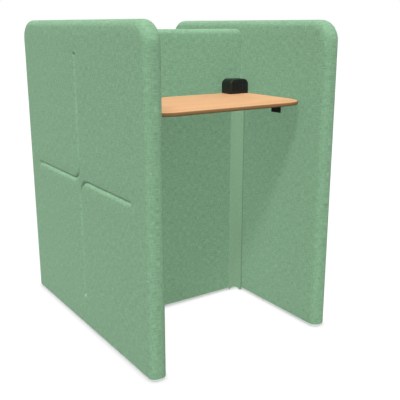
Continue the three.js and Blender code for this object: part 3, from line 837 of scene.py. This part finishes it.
def swell(cage, pinned):
    """Runs the cage's cloth simulation and leaves the cage in its swollen shape."""
    group = cage.vertex_groups.new(name="sewn")
    group.add([int(i) for i in np.flatnonzero(pinned)], 1.0, "REPLACE")
    rest = points_of(cage)
    only(cage)
    cloth = cage.modifiers.new("cloth", "CLOTH")
    cloth.settings.use_pressure = True
    cloth.settings.uniform_pressure_force = CLOTH_PRESSURE
    cloth.settings.vertex_group_mass = "sewn"
    cloth.settings.effector_weights.gravity = 0
    cloth.settings.quality = CLOTH_QUALITY
    cloth.point_cache.frame_end = CLOTH_FRAMES
    for number in range(1, CLOTH_FRAMES + 1):
        bpy.context.scene.frame_set(number)
    bpy.ops.object.modifier_apply(modifier="cloth")
    bpy.context.scene.frame_set(1)
    moved = points_of(cage) - rest
    length = np.linalg.norm(moved, axis=1, keepdims=True)
    capped = moved * np.minimum(1, SWELL / np.maximum(length, ROUNDING))
    move_points(cage, rest + capped)
    print(cage.name, "moved up to", round(float(length.max()) * 1000, 2), "mm before its cap")


def follow_cage(cover, cage, pinned):
    """Binds the cover to the cage, swells the cage and keeps the cover's new shape."""
    only(cover)
    bond = cover.modifiers.new("follow", "SURFACE_DEFORM")
    bond.target = cage
    bpy.ops.object.surfacedeform_bind(modifier="follow")
    if not bond.is_bound:
        raise RuntimeError(f"{cover.name} did not bind to its cage")
    swell(cage, pinned)
    only(cover)
    bpy.ops.object.modifier_apply(modifier="follow")
    bpy.data.objects.remove(cage)


print("cloth runs for", CLOTH_FRAMES, "frames")

# %% Make both side panels
COVER_STEP = 0.016
CAGE_STEP = 0.024
HEM_STEP = 0.0015
FINE_BAND = 0.094
END_BAND = 0.022
PIN_REACH = 0.028
PIN_FOOT = 0.03
COVER_SMOOTH = 80

hem_band = (panel_foot, panel_foot + HEM)
y_bands = [(-FINE_BAND, FINE_BAND)]
y_bands += [(end - END_BAND, end + END_BAND) for end in (-channel_run, channel_run)]
z_bands = [hem_band, (channel_level - FINE_BAND, channel_level + FINE_BAND)]
for end in (channel_level - channel_rise, channel_level + channel_rise):
    z_bands.append((end - END_BAND, end + END_BAND))

left_cover = side_cover(
    "left_panel_cover",
    grid_lines(-face_half, face_half, COVER_STEP, y_bands),
    grid_lines(panel_foot, face_top, COVER_STEP, z_bands),
)
cage = side_cover(
    "side_cage",
    grid_lines(-face_half, face_half, CAGE_STEP),
    grid_lines(panel_foot, face_top, CAGE_STEP, [hem_band], HEM_STEP),
)
x, y, z = points_of(cage).T
on_channel = (x < panel_outside + HEM) & (distance_to_channel(y, z) < PIN_REACH)
on_edge = (np.abs(y) > face_half - NEAR) | (z > face_top - NEAR)
follow_cage(left_cover, cage, on_channel | on_edge | (z < panel_foot + PIN_FOOT))

cover_points = points_of(left_cover)
x, y, z = cover_points.T
sunk = channel_depth(distance_to_channel(y, z)) + end_dimple(y, z)
cover_points[:, 0] += np.where(x < panel_outside + HEM, sunk, 0)
move_points(left_cover, cover_points)
right_cover = copy_of(left_cover, "right_panel_cover", math.pi)
for side, cover in (("left", left_cover), ("right", right_cover)):
    nodes = [f"{side}_panel_outer_pad", f"{side}_panel_inner_pad"]
    dress(cover, nodes, sage_cloth, angle=COVER_SMOOTH)
print("side covers with", len(left_cover.data.polygons), "faces each")

# %% [markdown]
# ## Middle panel
# The middle panel is made the same way, but only its top edge is round: its ends stand against the side
# panels. So its cover is one section, up the front, over the top and down the back, swept from end to
# end. The two upper corners are rounded a little, and the ends are tucked in by a narrow round.

# %% Cover of the middle panel
MIDDLE_STEP = 0.012
MIDDLE_EDGE = 0.026
MIDDLE_CORNER = 0.018
CORNER_FADE = 0.06

front_low, front_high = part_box("middle_front_pad")
middle_half = front_high.x
middle_top = front_high.z
middle_face = -front_low.y


def middle_section(step):
    """The section's points, from the front foot over the top to the back foot."""
    up = grid_lines(panel_foot, middle_top - MIDDLE_EDGE, step, [hem_band], HEM_STEP)
    half = [(-(middle_face - tuck), z) for tuck, z in zip(hem_tuck(up), up)]
    for i in range(1, RIM_STEPS + 1):
        turn = math.pi / 2 * i / RIM_STEPS
        y = middle_face - MIDDLE_EDGE * (1 - math.cos(turn))
        half.append((-y, middle_top - MIDDLE_EDGE * (1 - math.sin(turn))))
    half = np.array(half)
    return np.vstack([half, (half * (-1, 1))[::-1]])


def middle_cover(name, step):
    """The closed cover of the middle panel."""
    section = middle_section(step)
    count = len(section)
    run = np.concatenate([[0], np.cumsum(np.linalg.norm(np.diff(section, axis=0), axis=1))])
    corner_from = middle_half - MIDDLE_CORNER
    ends = [(-middle_half, -corner_from), (corner_from, middle_half)]
    lines = grid_lines(-middle_half, middle_half, step, ends, HEM_STEP)
    points, uv = [], []
    for x in lines:
        shrink = 1 - fall_back(HEM - (middle_half - abs(x)), HEM) / middle_face
        drop = fall_back(abs(x) - corner_from, MIDDLE_CORNER)
        for (y, z), along in zip(section, run):
            high = min(1.0, max(0.0, (z - middle_top + CORNER_FADE) / CORNER_FADE))
            points.append((x, y * shrink, z - drop * high))
            uv.append((x, along))
    faces, corners = [], []
    uv = np.array(uv)

    def add(*face):
        faces.append(face)
        corners.extend(uv[v] for v in face)

    for first in range(0, (len(lines) - 1) * count, count):
        for v in range(first, first + count - 1):
            add(v, v + count, v + count + 1, v + 1)
        last = first + count - 1
        add(last, last + count, first + count, first)
    for first in (0, (len(lines) - 1) * count):
        last = first + count - 1
        for j in range(count // 2 - 1):
            add(first + j, first + j + 1, last - j - 1, last - j)
    return mesh_piece(name, np.array(points), faces, corners)


middle_panel = middle_cover("middle_panel_cover", MIDDLE_STEP)
cage = middle_cover("middle_cage", CAGE_STEP)
x, y, z = points_of(cage).T
held = (np.abs(x) > middle_half - HEM) | (z > middle_top - MIDDLE_EDGE - NEAR)
follow_cage(middle_panel, cage, held | (z < panel_foot + PIN_FOOT))
nodes = ["middle_front_pad", "middle_rear_pad"]
dress(middle_panel, nodes, sage_cloth, angle=COVER_SMOOTH)
print("middle cover with", len(middle_panel.data.polygons), "faces")

# %% [markdown]
# ## Base strips
# Each panel stands on a pale strip, a little narrower than the panel, which leaves a thin shadow gap at
# the floor. Under a side panel it follows the round ends, so a cube gets its four upright edges rounded,
# and two pockets underneath take the feet of the levelling glides.

# %% Make the base strips
STRIP_ROUND = 0.028
STRIP_EDGE = 0.0008
POCKET_RADIUS = 0.0183
POCKET_TOP = 0.0063

for side in ("left", "right", "middle"):
    low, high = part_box(f"{side}_base_strip")
    strip = start_box(f"{side}_strip", low, high)
    if side != "middle":
        round_edges(strip, lambda e: edge_along(e, 2), STRIP_ROUND, segments=14)
        for end in ("front", "rear"):
            foot = middle_of(*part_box(f"{side}_{end}_glide"))
            drill(strip, foot, POCKET_RADIUS, -CUT_PAST, POCKET_TOP, sides=40)
    soften(strip, STRIP_EDGE, segments=2)
    dress(strip, [f"{side}_base_strip"], pale_strip)
print("base strips under their panels")

# %% [markdown]
# ## Worktops
# A worktop is a thin board between the side panels, with two large round front corners and a rounded
# front edge. The cube's two front upright edges are bevelled to the corner radius, and then the whole
# front outline is rounded above and below. A hole is cut for the power box's spigot, and the other edges,
# which meet the panels, are only softened. The faces that no longer look up or down get the darker edge
# finish: stain with painted shade.

# %% Make the worktops
WORKTOP_CORNER = 0.116
WORKTOP_ROUND = 0.0052
WORKTOP_EDGE = 0.0006
EDGE_TILT = 0.95
SPIGOT_HOLE = 0.0103

low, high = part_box("front_worktop")
hole = middle_of(*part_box("front_cable_spigot"))


def on_front_corner(edge):
    return edge_along(edge, 2) and edge_middle(edge).y < middle_of(low, high).y


def on_front_outline(edge):
    """Edges of the two big faces along the front and round the corners."""
    level = abs(edge.verts[0].co.z - edge.verts[1].co.z) < NEAR
    return level and edge_middle(edge).y < low.y + WORKTOP_CORNER - NEAR and not edge_along(edge, 1)


board = start_box("front_board", low, high)
round_edges(board, on_front_corner, WORKTOP_CORNER, segments=28)
round_edges(board, on_front_outline, WORKTOP_ROUND, segments=7)
drill(board, hole, SPIGOT_HOLE, low.z - CUT_PAST, high.z + CUT_PAST)
soften(board, WORKTOP_EDGE, segments=2, angle=60)
two_finishes(board, beech_face, beech_edge, lambda f: abs(f.normal.z) < EDGE_TILT)
dress_both(board, "worktop")
print("worktops with", len(board.data.polygons), "faces each")

# %% [markdown]
# ## Brackets and screws
# Each worktop rests on three black angle brackets: a thick wall on the panel and a shelf under the board,
# with a rounded inner corner. One is modelled from a cube, by pulling the shelf out of the wall, and then
# copied to the others' places. The pan-head screws have a cross recess, one driven into the panel and one
# up into the board.

# %% Make the brackets
BRACKET_WALL = 0.012
BRACKET_SHELF = 0.009
BRACKET_FILLET = 0.009
BRACKET_EDGE = 0.0013

wall_low, wall_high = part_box("front_left_bracket")
size = wall_high - wall_low
half_wide = size.y / 2
pattern = start_box("bracket", (0, -half_wide, -size.z), (BRACKET_WALL, half_wide, 0))
edit(pattern)
bpy.ops.mesh.select_all(action="SELECT")
bpy.ops.mesh.bisect(plane_co=(0, 0, -BRACKET_SHELF), plane_no=(0, 0, 1))
pick(pattern, "FACE", lambda f: f.normal.x > STRAIGHT and f.calc_center_median().z > -BRACKET_SHELF)
pull(size.x - BRACKET_WALL, 0, 0)
leave()


def inner_corner(edge):
    """The edge where the shelf meets the wall."""
    x, _, z = edge_middle(edge)
    return edge_along(edge, 1) and abs(x - BRACKET_WALL) < NEAR and abs(z + BRACKET_SHELF) < NEAR


def face_middle(low, high, way):
    """The middle of the side or edge of a box that looks along the axis directions in way."""
    place = middle_of(low, high)
    for axis in range(3):
        if way[axis]:
            place[axis] = high[axis] if way[axis] > 0 else low[axis]
    return place


round_edges(pattern, inner_corner, BRACKET_FILLET, segments=6)
soften(pattern, BRACKET_EDGE)
shelf_ways = {}
for niche, back_turn in (("front", -math.pi / 2), ("rear", math.pi / 2)):
    for key, turn in (("left", 0.0), ("right", math.pi), ("back", back_turn)):
        node = f"{niche}_{key}_bracket"
        way = Vector((round(math.cos(turn)), round(math.sin(turn)), 0))
        root = face_middle(*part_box(node), UP - way)
        dress(copy_of(pattern, f"{niche}_{key}_angle", turn, root), [node], powder_black)
        shelf_ways[node] = way
bpy.data.objects.remove(pattern)
print(len(shelf_ways), "brackets in place")

# %% Make the screws
HEAD_RADIUS = 0.005
HEAD_HEIGHT = 0.003
HEAD_ROUND = 0.0018
SHANK_RADIUS = 0.0025
TIP_LONG = 2 * SHANK_RADIUS
TIP_SHARE = 0.12
RECESS_LONG = 0.0028
RECESS_WIDE = 0.0006
RECESS_DEEP = 0.0014


def make_screw(name, length):
    """A screw whose head lies below zero and whose shank points up, as turned from a rod."""
    screw = start_rod(name, HEAD_RADIUS, (0, 0, -HEAD_HEIGHT), (0, 0, 0), sides=28)
    below = NEAR - HEAD_HEIGHT
    round_edges(screw, lambda e: max(v.co.z for v in e.verts) < below, HEAD_ROUND, segments=5)
    edit(screw)
    pick(screw, "FACE", lambda f: f.normal.z > STRAIGHT)
    bpy.ops.mesh.inset(thickness=HEAD_RADIUS - SHANK_RADIUS)
    pull(0, 0, length - TIP_LONG)
    pull(0, 0, TIP_LONG)
    bpy.ops.transform.resize(value=(TIP_SHARE, TIP_SHARE, 1))
    leave()
    for wide, long in ((RECESS_WIDE, RECESS_LONG), (RECESS_LONG, RECESS_WIDE)):
        low, high = (-wide, -long, -HEAD_HEIGHT - CUT_PAST), (wide, long, -HEAD_HEIGHT + RECESS_DEEP)
        cut_out(screw, start_box("recess", low, high))
    return screw


for bracket, shelf_way in shelf_ways.items():
    for kind, look, way in (("board", "upright", UP), ("panel", "level", -shelf_way)):
        node = f"{bracket}_{kind}_screw"
        low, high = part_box(node)
        screw = make_screw(f"{bracket}_{look}_screw", abs((high - low).dot(way)) - HEAD_HEIGHT)
        seat = face_middle(low, high, -way) + HEAD_HEIGHT * way
        turned = UP.rotation_difference(way).to_matrix().to_4x4()
        screw.data.transform(Matrix.Translation(seat) @ turned)
        dress(screw, [node], powder_black)
print(2 * len(shelf_ways), "screws driven")

# %% [markdown]
# ## Power boxes
# On each worktop stands a small black box with round upper corners. Its front holds two square modules,
# a socket and a pair of USB ports. The housing starts as a cube whose two long top edges are rounded, and
# then the outlines of its front and back are rounded too. The window for the modules and the space inside
# are cut out, and the modules slide in as pieces of their own.

# %% Make the housings
BOX_CORNER = 0.026
BOX_RIM = 0.006
BOX_WALL = 0.003
BOX_EDGE = 0.0016
MODULE_GAP = 0.0003

low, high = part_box("front_power_housing")
socket_low, socket_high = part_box("front_socket_module")
usb_low, usb_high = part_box("front_usb_module")


def round_topped(name, low, high, corner):
    """A cube whose two long top edges are rounded."""
    block = start_box(name, low, high)
    top = high.z - NEAR
    round_edges(block, lambda e: edge_along(e, 1) and edge_middle(e).z > top, corner, segments=16)
    return block


def on_box_outline(edge):
    """Edges round the front or the back, without those that stand on the worktop."""
    level = [vert.co.y for vert in edge.verts]
    ends = max(level) < low.y + NEAR or min(level) > high.y - NEAR
    return ends and max(vert.co.z for vert in edge.verts) > low.z + NEAR


housing = round_topped("front_box", low, high, BOX_CORNER)
round_edges(housing, on_box_outline, BOX_RIM, segments=5)
wall = Vector((BOX_WALL, BOX_WALL, BOX_WALL))
cut_out(housing, round_topped("inside", low + wall, high - wall, BOX_CORNER - BOX_WALL))
window_low = (socket_low.x - MODULE_GAP, low.y - CUT_PAST, socket_low.z - MODULE_GAP)
window_high = (usb_high.x + MODULE_GAP, low.y + 2 * BOX_WALL, socket_high.z + MODULE_GAP)
cut_out(housing, start_box("window", window_low, window_high))
drill(housing, hole, SPIGOT_HOLE, low.z - CUT_PAST, low.z + 2 * BOX_WALL)
soften(housing, BOX_EDGE, angle=40)
dress_both(housing, "power_housing", black_plastic)
print("housings with", len(housing.data.polygons), "faces each")

# %% Make the socket modules
MODULE_EDGE = 0.0007
SLOT_DEEP = 0.012
DISH_RADIUS = 0.0165
DISH_DEEP = 0.0012
BLADE_WIDE = 0.0012
BLADE_HIGH = 0.004
BLADE_PITCH = 0.00635
EARTH_RADIUS = 0.002
EARTH_DROP = 0.0055


def bore(piece, x, z, radius, face, deep, sides):
    """Cuts a round hole into a face that looks forwards."""
    cut_out(piece, start_rod("bore", radius, (x, face - CUT_PAST, z), (x, face + deep, z), sides))


def cut_slot(piece, x, z, wide, high, face):
    """Cuts a slot, given by half its width and height, into a face that looks forwards."""
    slot_low = (x - wide, face - CUT_PAST, z - high)
    cut_out(piece, start_box("slot", slot_low, (x + wide, face + SLOT_DEEP, z + high)))


face = socket_low.y
centre = middle_of(socket_low, socket_high)
socket = start_box("front_socket", socket_low, socket_high)
soften(socket, MODULE_EDGE)
bore(socket, centre.x, centre.z, DISH_RADIUS, face, DISH_DEEP, sides=48)
for x in (centre.x - BLADE_PITCH, centre.x + BLADE_PITCH):
    cut_slot(socket, x, centre.z + EARTH_DROP, BLADE_WIDE, BLADE_HIGH, face)
bore(socket, centre.x, centre.z - EARTH_DROP, EARTH_RADIUS, face, SLOT_DEEP, sides=20)
dress_both(socket, "socket_module", black_module)
print("socket modules with", len(socket.data.polygons), "faces each")

# %% Make the USB modules
PORT_WIDE = 0.0026
PORT_HIGH = 0.0065
PORT_PITCH = 0.0095
TONGUE_WIDE = 0.0009
TONGUE_HIGH = 0.0054
TONGUE_BACK = 0.0008
TONGUE_ROOT = 0.001
TONGUE_EDGE = 0.0003

face = usb_low.y
centre = middle_of(usb_low, usb_high)
usb = start_box("front_usb", usb_low, usb_high)
soften(usb, MODULE_EDGE)
tongues = []
for z in (centre.z - PORT_PITCH, centre.z + PORT_PITCH):
    cut_slot(usb, centre.x, z, PORT_WIDE, PORT_HIGH, face)
    low = (centre.x - TONGUE_WIDE, face + TONGUE_BACK, z - TONGUE_HIGH)
    high = (centre.x + TONGUE_WIDE, face + SLOT_DEEP + TONGUE_ROOT, z + TONGUE_HIGH)
    tongues.append(start_box("front_usb_tongues", low, high))
    soften(tongues[-1], TONGUE_EDGE, segments=2)
only(tongues[0])
tongues[1].select_set(True)
bpy.ops.object.join()
dress_both(usb, "usb_module", black_module)
dress_both(tongues[0], None, violet_plastic)
print("USB modules with", len(usb.data.polygons), "faces each")

# %% [markdown]
# ## Spigot nuts
# Below the board a ribbed nut pulls the box down by its hollow spigot. The ribs that fingers grip are
# every other side face of a many-sided cylinder, pushed out a little.

# %% Make the nuts
NUT_SIDES = 36
NUT_RIB = 0.0009
RIB_INSET = 0.0004

low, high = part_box("front_spigot_nut")
nut_radius = (high.x - low.x) / 2 - NUT_RIB
ends = [(hole.x, hole.y, z) for z in (low.z, high.z)]
nut = start_rod("front_nut", nut_radius, *ends, NUT_SIDES)


def every_other_side(face):
    out = face.calc_center_median() - Vector((hole.x, hole.y, 0))
    turn = math.atan2(out.y, out.x) / (2 * math.pi) * NUT_SIDES
    return abs(face.normal.z) < NEAR and math.floor(turn) % 2 == 0


edit(nut)
pick(nut, "FACE", every_other_side)
bpy.ops.mesh.inset(thickness=RIB_INSET, use_individual=True)
bpy.ops.mesh.extrude_faces_move(TRANSFORM_OT_shrink_fatten={"value": NUT_RIB})
leave()
drill(nut, hole, SPIGOT_HOLE, low.z - CUT_PAST, high.z + CUT_PAST)
dress_both(nut, "spigot_nut", black_plastic)
print("nuts with", len(nut.data.polygons), "faces each")

# %% [markdown]
# ## Cable ducts
# In the corner below each box a slanted cover, wrapped in the panels' cloth, hides the cable. It is a
# thin bent sheet: a plane is stood across the corner, its two long edges are folded back along the
# panels, the folds are rounded and the sheet gets its thickness. An arch at its foot lets the cable out,
# and one at its head lets it in. The fold on the side panel is the tighter one; its cloth has painted
# shade.

# %% Make the ducts
DUCT_WALL = 0.003
DUCT_FLANGE = 0.012
DUCT_FOLDS = (0.009, 0.006)
DUCT_EDGE = 0.0006
# How far from the tighter fold the painted shade reaches.
FOLD_SHADE_WIDE = 0.009
ARCH_RADIUS = 0.028
ARCH_HIGH = 0.017
ARCH_ASIDE = 0.004
ARCH_REACH = 0.012
LEVEL_LEAST = 0.2

low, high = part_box("front_cable_duct")
thin = DUCT_WALL / 2
start = Vector((low.x + thin, high.y - thin, 0))
end = Vector((high.x - thin, low.y + thin, 0))
span = end - start


def at_fold(place):
    """A test for the upright edge at a place."""
    return lambda e: edge_along(e, 2) and (edge_middle(e).xy - place.xy).length < NEAR


bpy.ops.mesh.primitive_plane_add(size=1)
duct = bpy.context.object
duct.scale = (span.length, high.z - low.z, 1)
duct.rotation_euler = (math.pi / 2, 0, math.atan2(span.y, span.x))
duct.location = middle_of(start, end) + middle_of(low, high).z * UP
settle(duct, "front_duct")
for place, flange in ((start, (DUCT_FLANGE, 0, 0)), (end, (0, DUCT_FLANGE, 0))):
    edit(duct)
    pick(duct, "EDGE", at_fold(place))
    pull(*flange)
    leave()
for place, fold in zip((start, end), DUCT_FOLDS):
    round_edges(duct, at_fold(place), fold, segments=5)
face_outwards(duct)
apply_modifier(duct, "SOLIDIFY", thickness=DUCT_WALL, offset=0, use_even_offset=True)
arch = middle_of(start, end) - ARCH_ASIDE * span.normalized()
outwards = ARCH_REACH * Vector((-span.y, span.x, 0)).normalized()
for z in (low.z + ARCH_HIGH - ARCH_RADIUS, high.z - ARCH_HIGH + ARCH_RADIUS):
    level = z * UP
    near, far = arch - outwards + level, arch + outwards + level
    cut_out(duct, start_rod("arch", ARCH_RADIUS, near, far, sides=64))
soften(duct, DUCT_EDGE, segments=2, angle=50)


def lay_cloth(piece):
    """A UV map in metres: along the surface's own level direction, and up."""
    layer = piece.data.uv_layers.get("cloth") or piece.data.uv_layers.new(name="cloth")
    for face in piece.data.polygons:
        level = UP.cross(face.normal)
        level = level.normalized() if level.length > LEVEL_LEAST else Vector((1, 0, 0))
        up = face.normal.cross(level)
        for corner in face.loop_indices:
            place = piece.data.vertices[piece.data.loops[corner].vertex_index].co
            layer.data[corner].uv = (place.dot(level), place.dot(up))


# Faces along the tighter fold, whose cloth gets the painted shade.
def in_fold_shade(face):
    return (face.calc_center_median().xy - end.xy).length < FOLD_SHADE_WIDE


lay_cloth(duct)
two_finishes(duct, duct_lit_cloth, duct_fold_shade, in_fold_shade)
dress_both(duct, "cable_duct")
print("ducts with", len(duct.data.polygons), "faces each")

# %% [markdown]
# ## Levelling glides
# Four glides carry the pod. Each has a wide black foot that draws back into the base strip and a threaded
# stud. The foot is a disc with rounded rims. The stud grows out of it ring by ring, and every other ring
# is wider, which reads as a thread.

# %% Make the glides
FOOT_RADIUS = 0.018
FOOT_HEIGHT = 0.006
FOOT_ROUND = 0.0012
STUD_RADIUS = 0.005
THREAD_DEEP = 0.0005
THREAD_RISE = 0.00075

low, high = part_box("left_front_glide")
glide = start_rod("glide", FOOT_RADIUS, (0, 0, 0), (0, 0, FOOT_HEIGHT), sides=48)
round_edges(glide, lambda e: not edge_along(e, 2), FOOT_ROUND, segments=3)
edit(glide)
pick(glide, "FACE", lambda f: f.normal.z > STRAIGHT)
bpy.ops.mesh.inset(thickness=FOOT_RADIUS - FOOT_ROUND - STUD_RADIUS)
rings = int((high.z - low.z - FOOT_HEIGHT) / THREAD_RISE)
narrower = (STUD_RADIUS - THREAD_DEEP) / STUD_RADIUS
for ring in range(rings):
    pull(0, 0, THREAD_RISE)
    size = narrower if ring % 2 == 0 else 1 / narrower
    bpy.ops.transform.resize(value=(size, size, 1), center_override=(0, 0, 0))
leave()
for side in ("left", "right"):
    for end in ("front", "rear"):
        node = f"{side}_{end}_glide"
        foot = copy_of(glide, f"{side}_{end}_foot", 0, face_middle(*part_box(node), -UP))
        dress(foot, [node], black_plastic, f"{node}_body")
bpy.data.objects.remove(glide)
print("glides with", rings, "thread rings each")

# %% [markdown]
# ## Pieces that stay as the CAD made them
# The boards inside the panels, the studs that join them, the inserts of the glides and the hollow spigots
# are hidden or nearly so. Their CAD shapes are right, so they only get their finishes: bare chipboard,
# zinc plate and black plastic.

# %% Finish the CAD nodes that stay
kept = 0
for name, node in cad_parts.items():
    if name.endswith("_core"):
        finish = chipboard
    elif "joining_stud" in name or name.endswith("_insert"):
        finish = zinc_plate
    elif name.endswith("_spigot"):
        finish = black_plastic
    else:
        continue
    node.data.materials.clear()
    node.data.materials.append(finish)
    kept += 1
print(kept, "CAD nodes keep their shape")

# %% [markdown]
# ## Floor, background and light
# The photograph has a white ground with only a faint shadow. The floor is white, and where the camera,
# a reflection or a transparent surface looks at it, most of it is plain white light, so that only a trace
# of the shadow is left. Close to the panels' feet the white is dimmed by ambient occlusion, as a narrow
# contact shadow.
#
# The picture's light is even: upright faces that look left and forwards are equally bright, tops are
# brighter, and the worktop's shadow on the right panel is light but has an edge. So one rather narrow sun
# stands high at the front left. Eight wide suns from all around fill in without shadows, most of all from
# the left and the front, and the surround adds a little more. One more from the front right does cast a
# shadow, which makes the inner corner by the cable duct deeper.

# %% Stage and lamps
FLOOR_HALF = 40.0
FLOOR_WHITE_SHARE = 0.86
FLOOR_GREY = 0.85
FLOOR_BOUNCE = 0.1
CONTACT_REACH = 0.03
CONTACT_DARK = 0.42
SURROUND = 0.13
KEY_STRENGTH = 1.43
KEY_HEIGHT = math.radians(55)
KEY_SIDE = math.radians(225)
KEY_WIDTH = math.radians(10)
FILL_STRENGTH = 1.2
FILL_HEIGHT = math.radians(35)
FILL_WIDTH = math.radians(40)
FILL_SHARES = (0.3, 0.3, 0.3, 0.7, 1.0, 1.15, 1.15, 0.4)
RIGHT_SHARE = 0.35
RIGHT_SIDE = math.radians(315)


def seen_directly(tree):
    """1 for rays that show the background itself, and 0 for rays that carry light."""
    rays = add_node(tree, "LightPath").outputs
    seen = calculate(tree, "MAXIMUM", rays["Is Camera Ray"], rays["Is Glossy Ray"])
    return calculate(tree, "MAXIMUM", seen, rays["Is Transmission Ray"])


bpy.ops.mesh.primitive_plane_add(size=2 * FLOOR_HALF, location=(0, 0, 0))
floor = bpy.context.object
floor.name = "floor"
floor_paint = bpy.data.materials.new("white_floor")
floor_paint.use_nodes = True
tree = floor_paint.node_tree
tree.nodes.remove(tree.nodes["Principled BSDF"])
seen = seen_directly(tree)
grey = blend_colours(tree, seen, (FLOOR_BOUNCE,) * 3 + (1,), (FLOOR_GREY,) * 3 + (1,))
matt = add_node(tree, "BsdfDiffuse", Color=grey)
contact = add_node(tree, "AmbientOcclusion", Distance=CONTACT_REACH).outputs["AO"]
plain = add_node(tree, "Emission", Color=remap(tree, contact, CONTACT_DARK, 1.0))
mixed = add_node(tree, "MixShader")
share = calculate(tree, "MULTIPLY", seen, FLOOR_WHITE_SHARE)
for number, value in enumerate((share, matt.outputs[0], plain.outputs[0])):
    feed(tree, mixed.inputs[number], value)
feed_all(tree, tree.nodes["Material Output"], Surface=mixed.outputs[0])
floor.data.materials.append(floor_paint)

world = bpy.data.worlds.new("studio")
bpy.context.scene.world = world
world.use_nodes = True
tree = world.node_tree
strength = remap(tree, seen_directly(tree), SURROUND, 1.0)
feed_all(tree, tree.nodes["Background"], Color=(1, 1, 1, 1), Strength=strength)


def add_sun(name, side, height, strength, width, shadow):
    """A sun that shines from a compass side and a height, as wide as it should be soft."""
    sun = bpy.data.lights.new(name, "SUN")
    sun.energy = strength
    sun.angle = width
    sun.use_shadow = shadow
    sun.cycles.use_multiple_importance_sampling = shadow
    holder = bpy.data.objects.new(name, sun)
    holder.visible_glossy = shadow
    holder.rotation_euler = (math.pi / 2 - height, 0, side + math.pi / 2)
    bpy.context.scene.collection.objects.link(holder)


add_sun("key_sun", KEY_SIDE, KEY_HEIGHT, KEY_STRENGTH, KEY_WIDTH, True)
for number, share in enumerate(FILL_SHARES):
    side = 2 * math.pi * number / len(FILL_SHARES)
    add_sun(f"fill_sun_{number + 1}", side, FILL_HEIGHT, FILL_STRENGTH * share, FILL_WIDTH, False)
add_sun("side_sun", RIGHT_SIDE, FILL_HEIGHT, FILL_STRENGTH * RIGHT_SHARE, FILL_WIDTH, True)
bpy.context.scene.view_settings.view_transform = "Standard"
print("stage and", 2 + len(FILL_SHARES), "suns set")
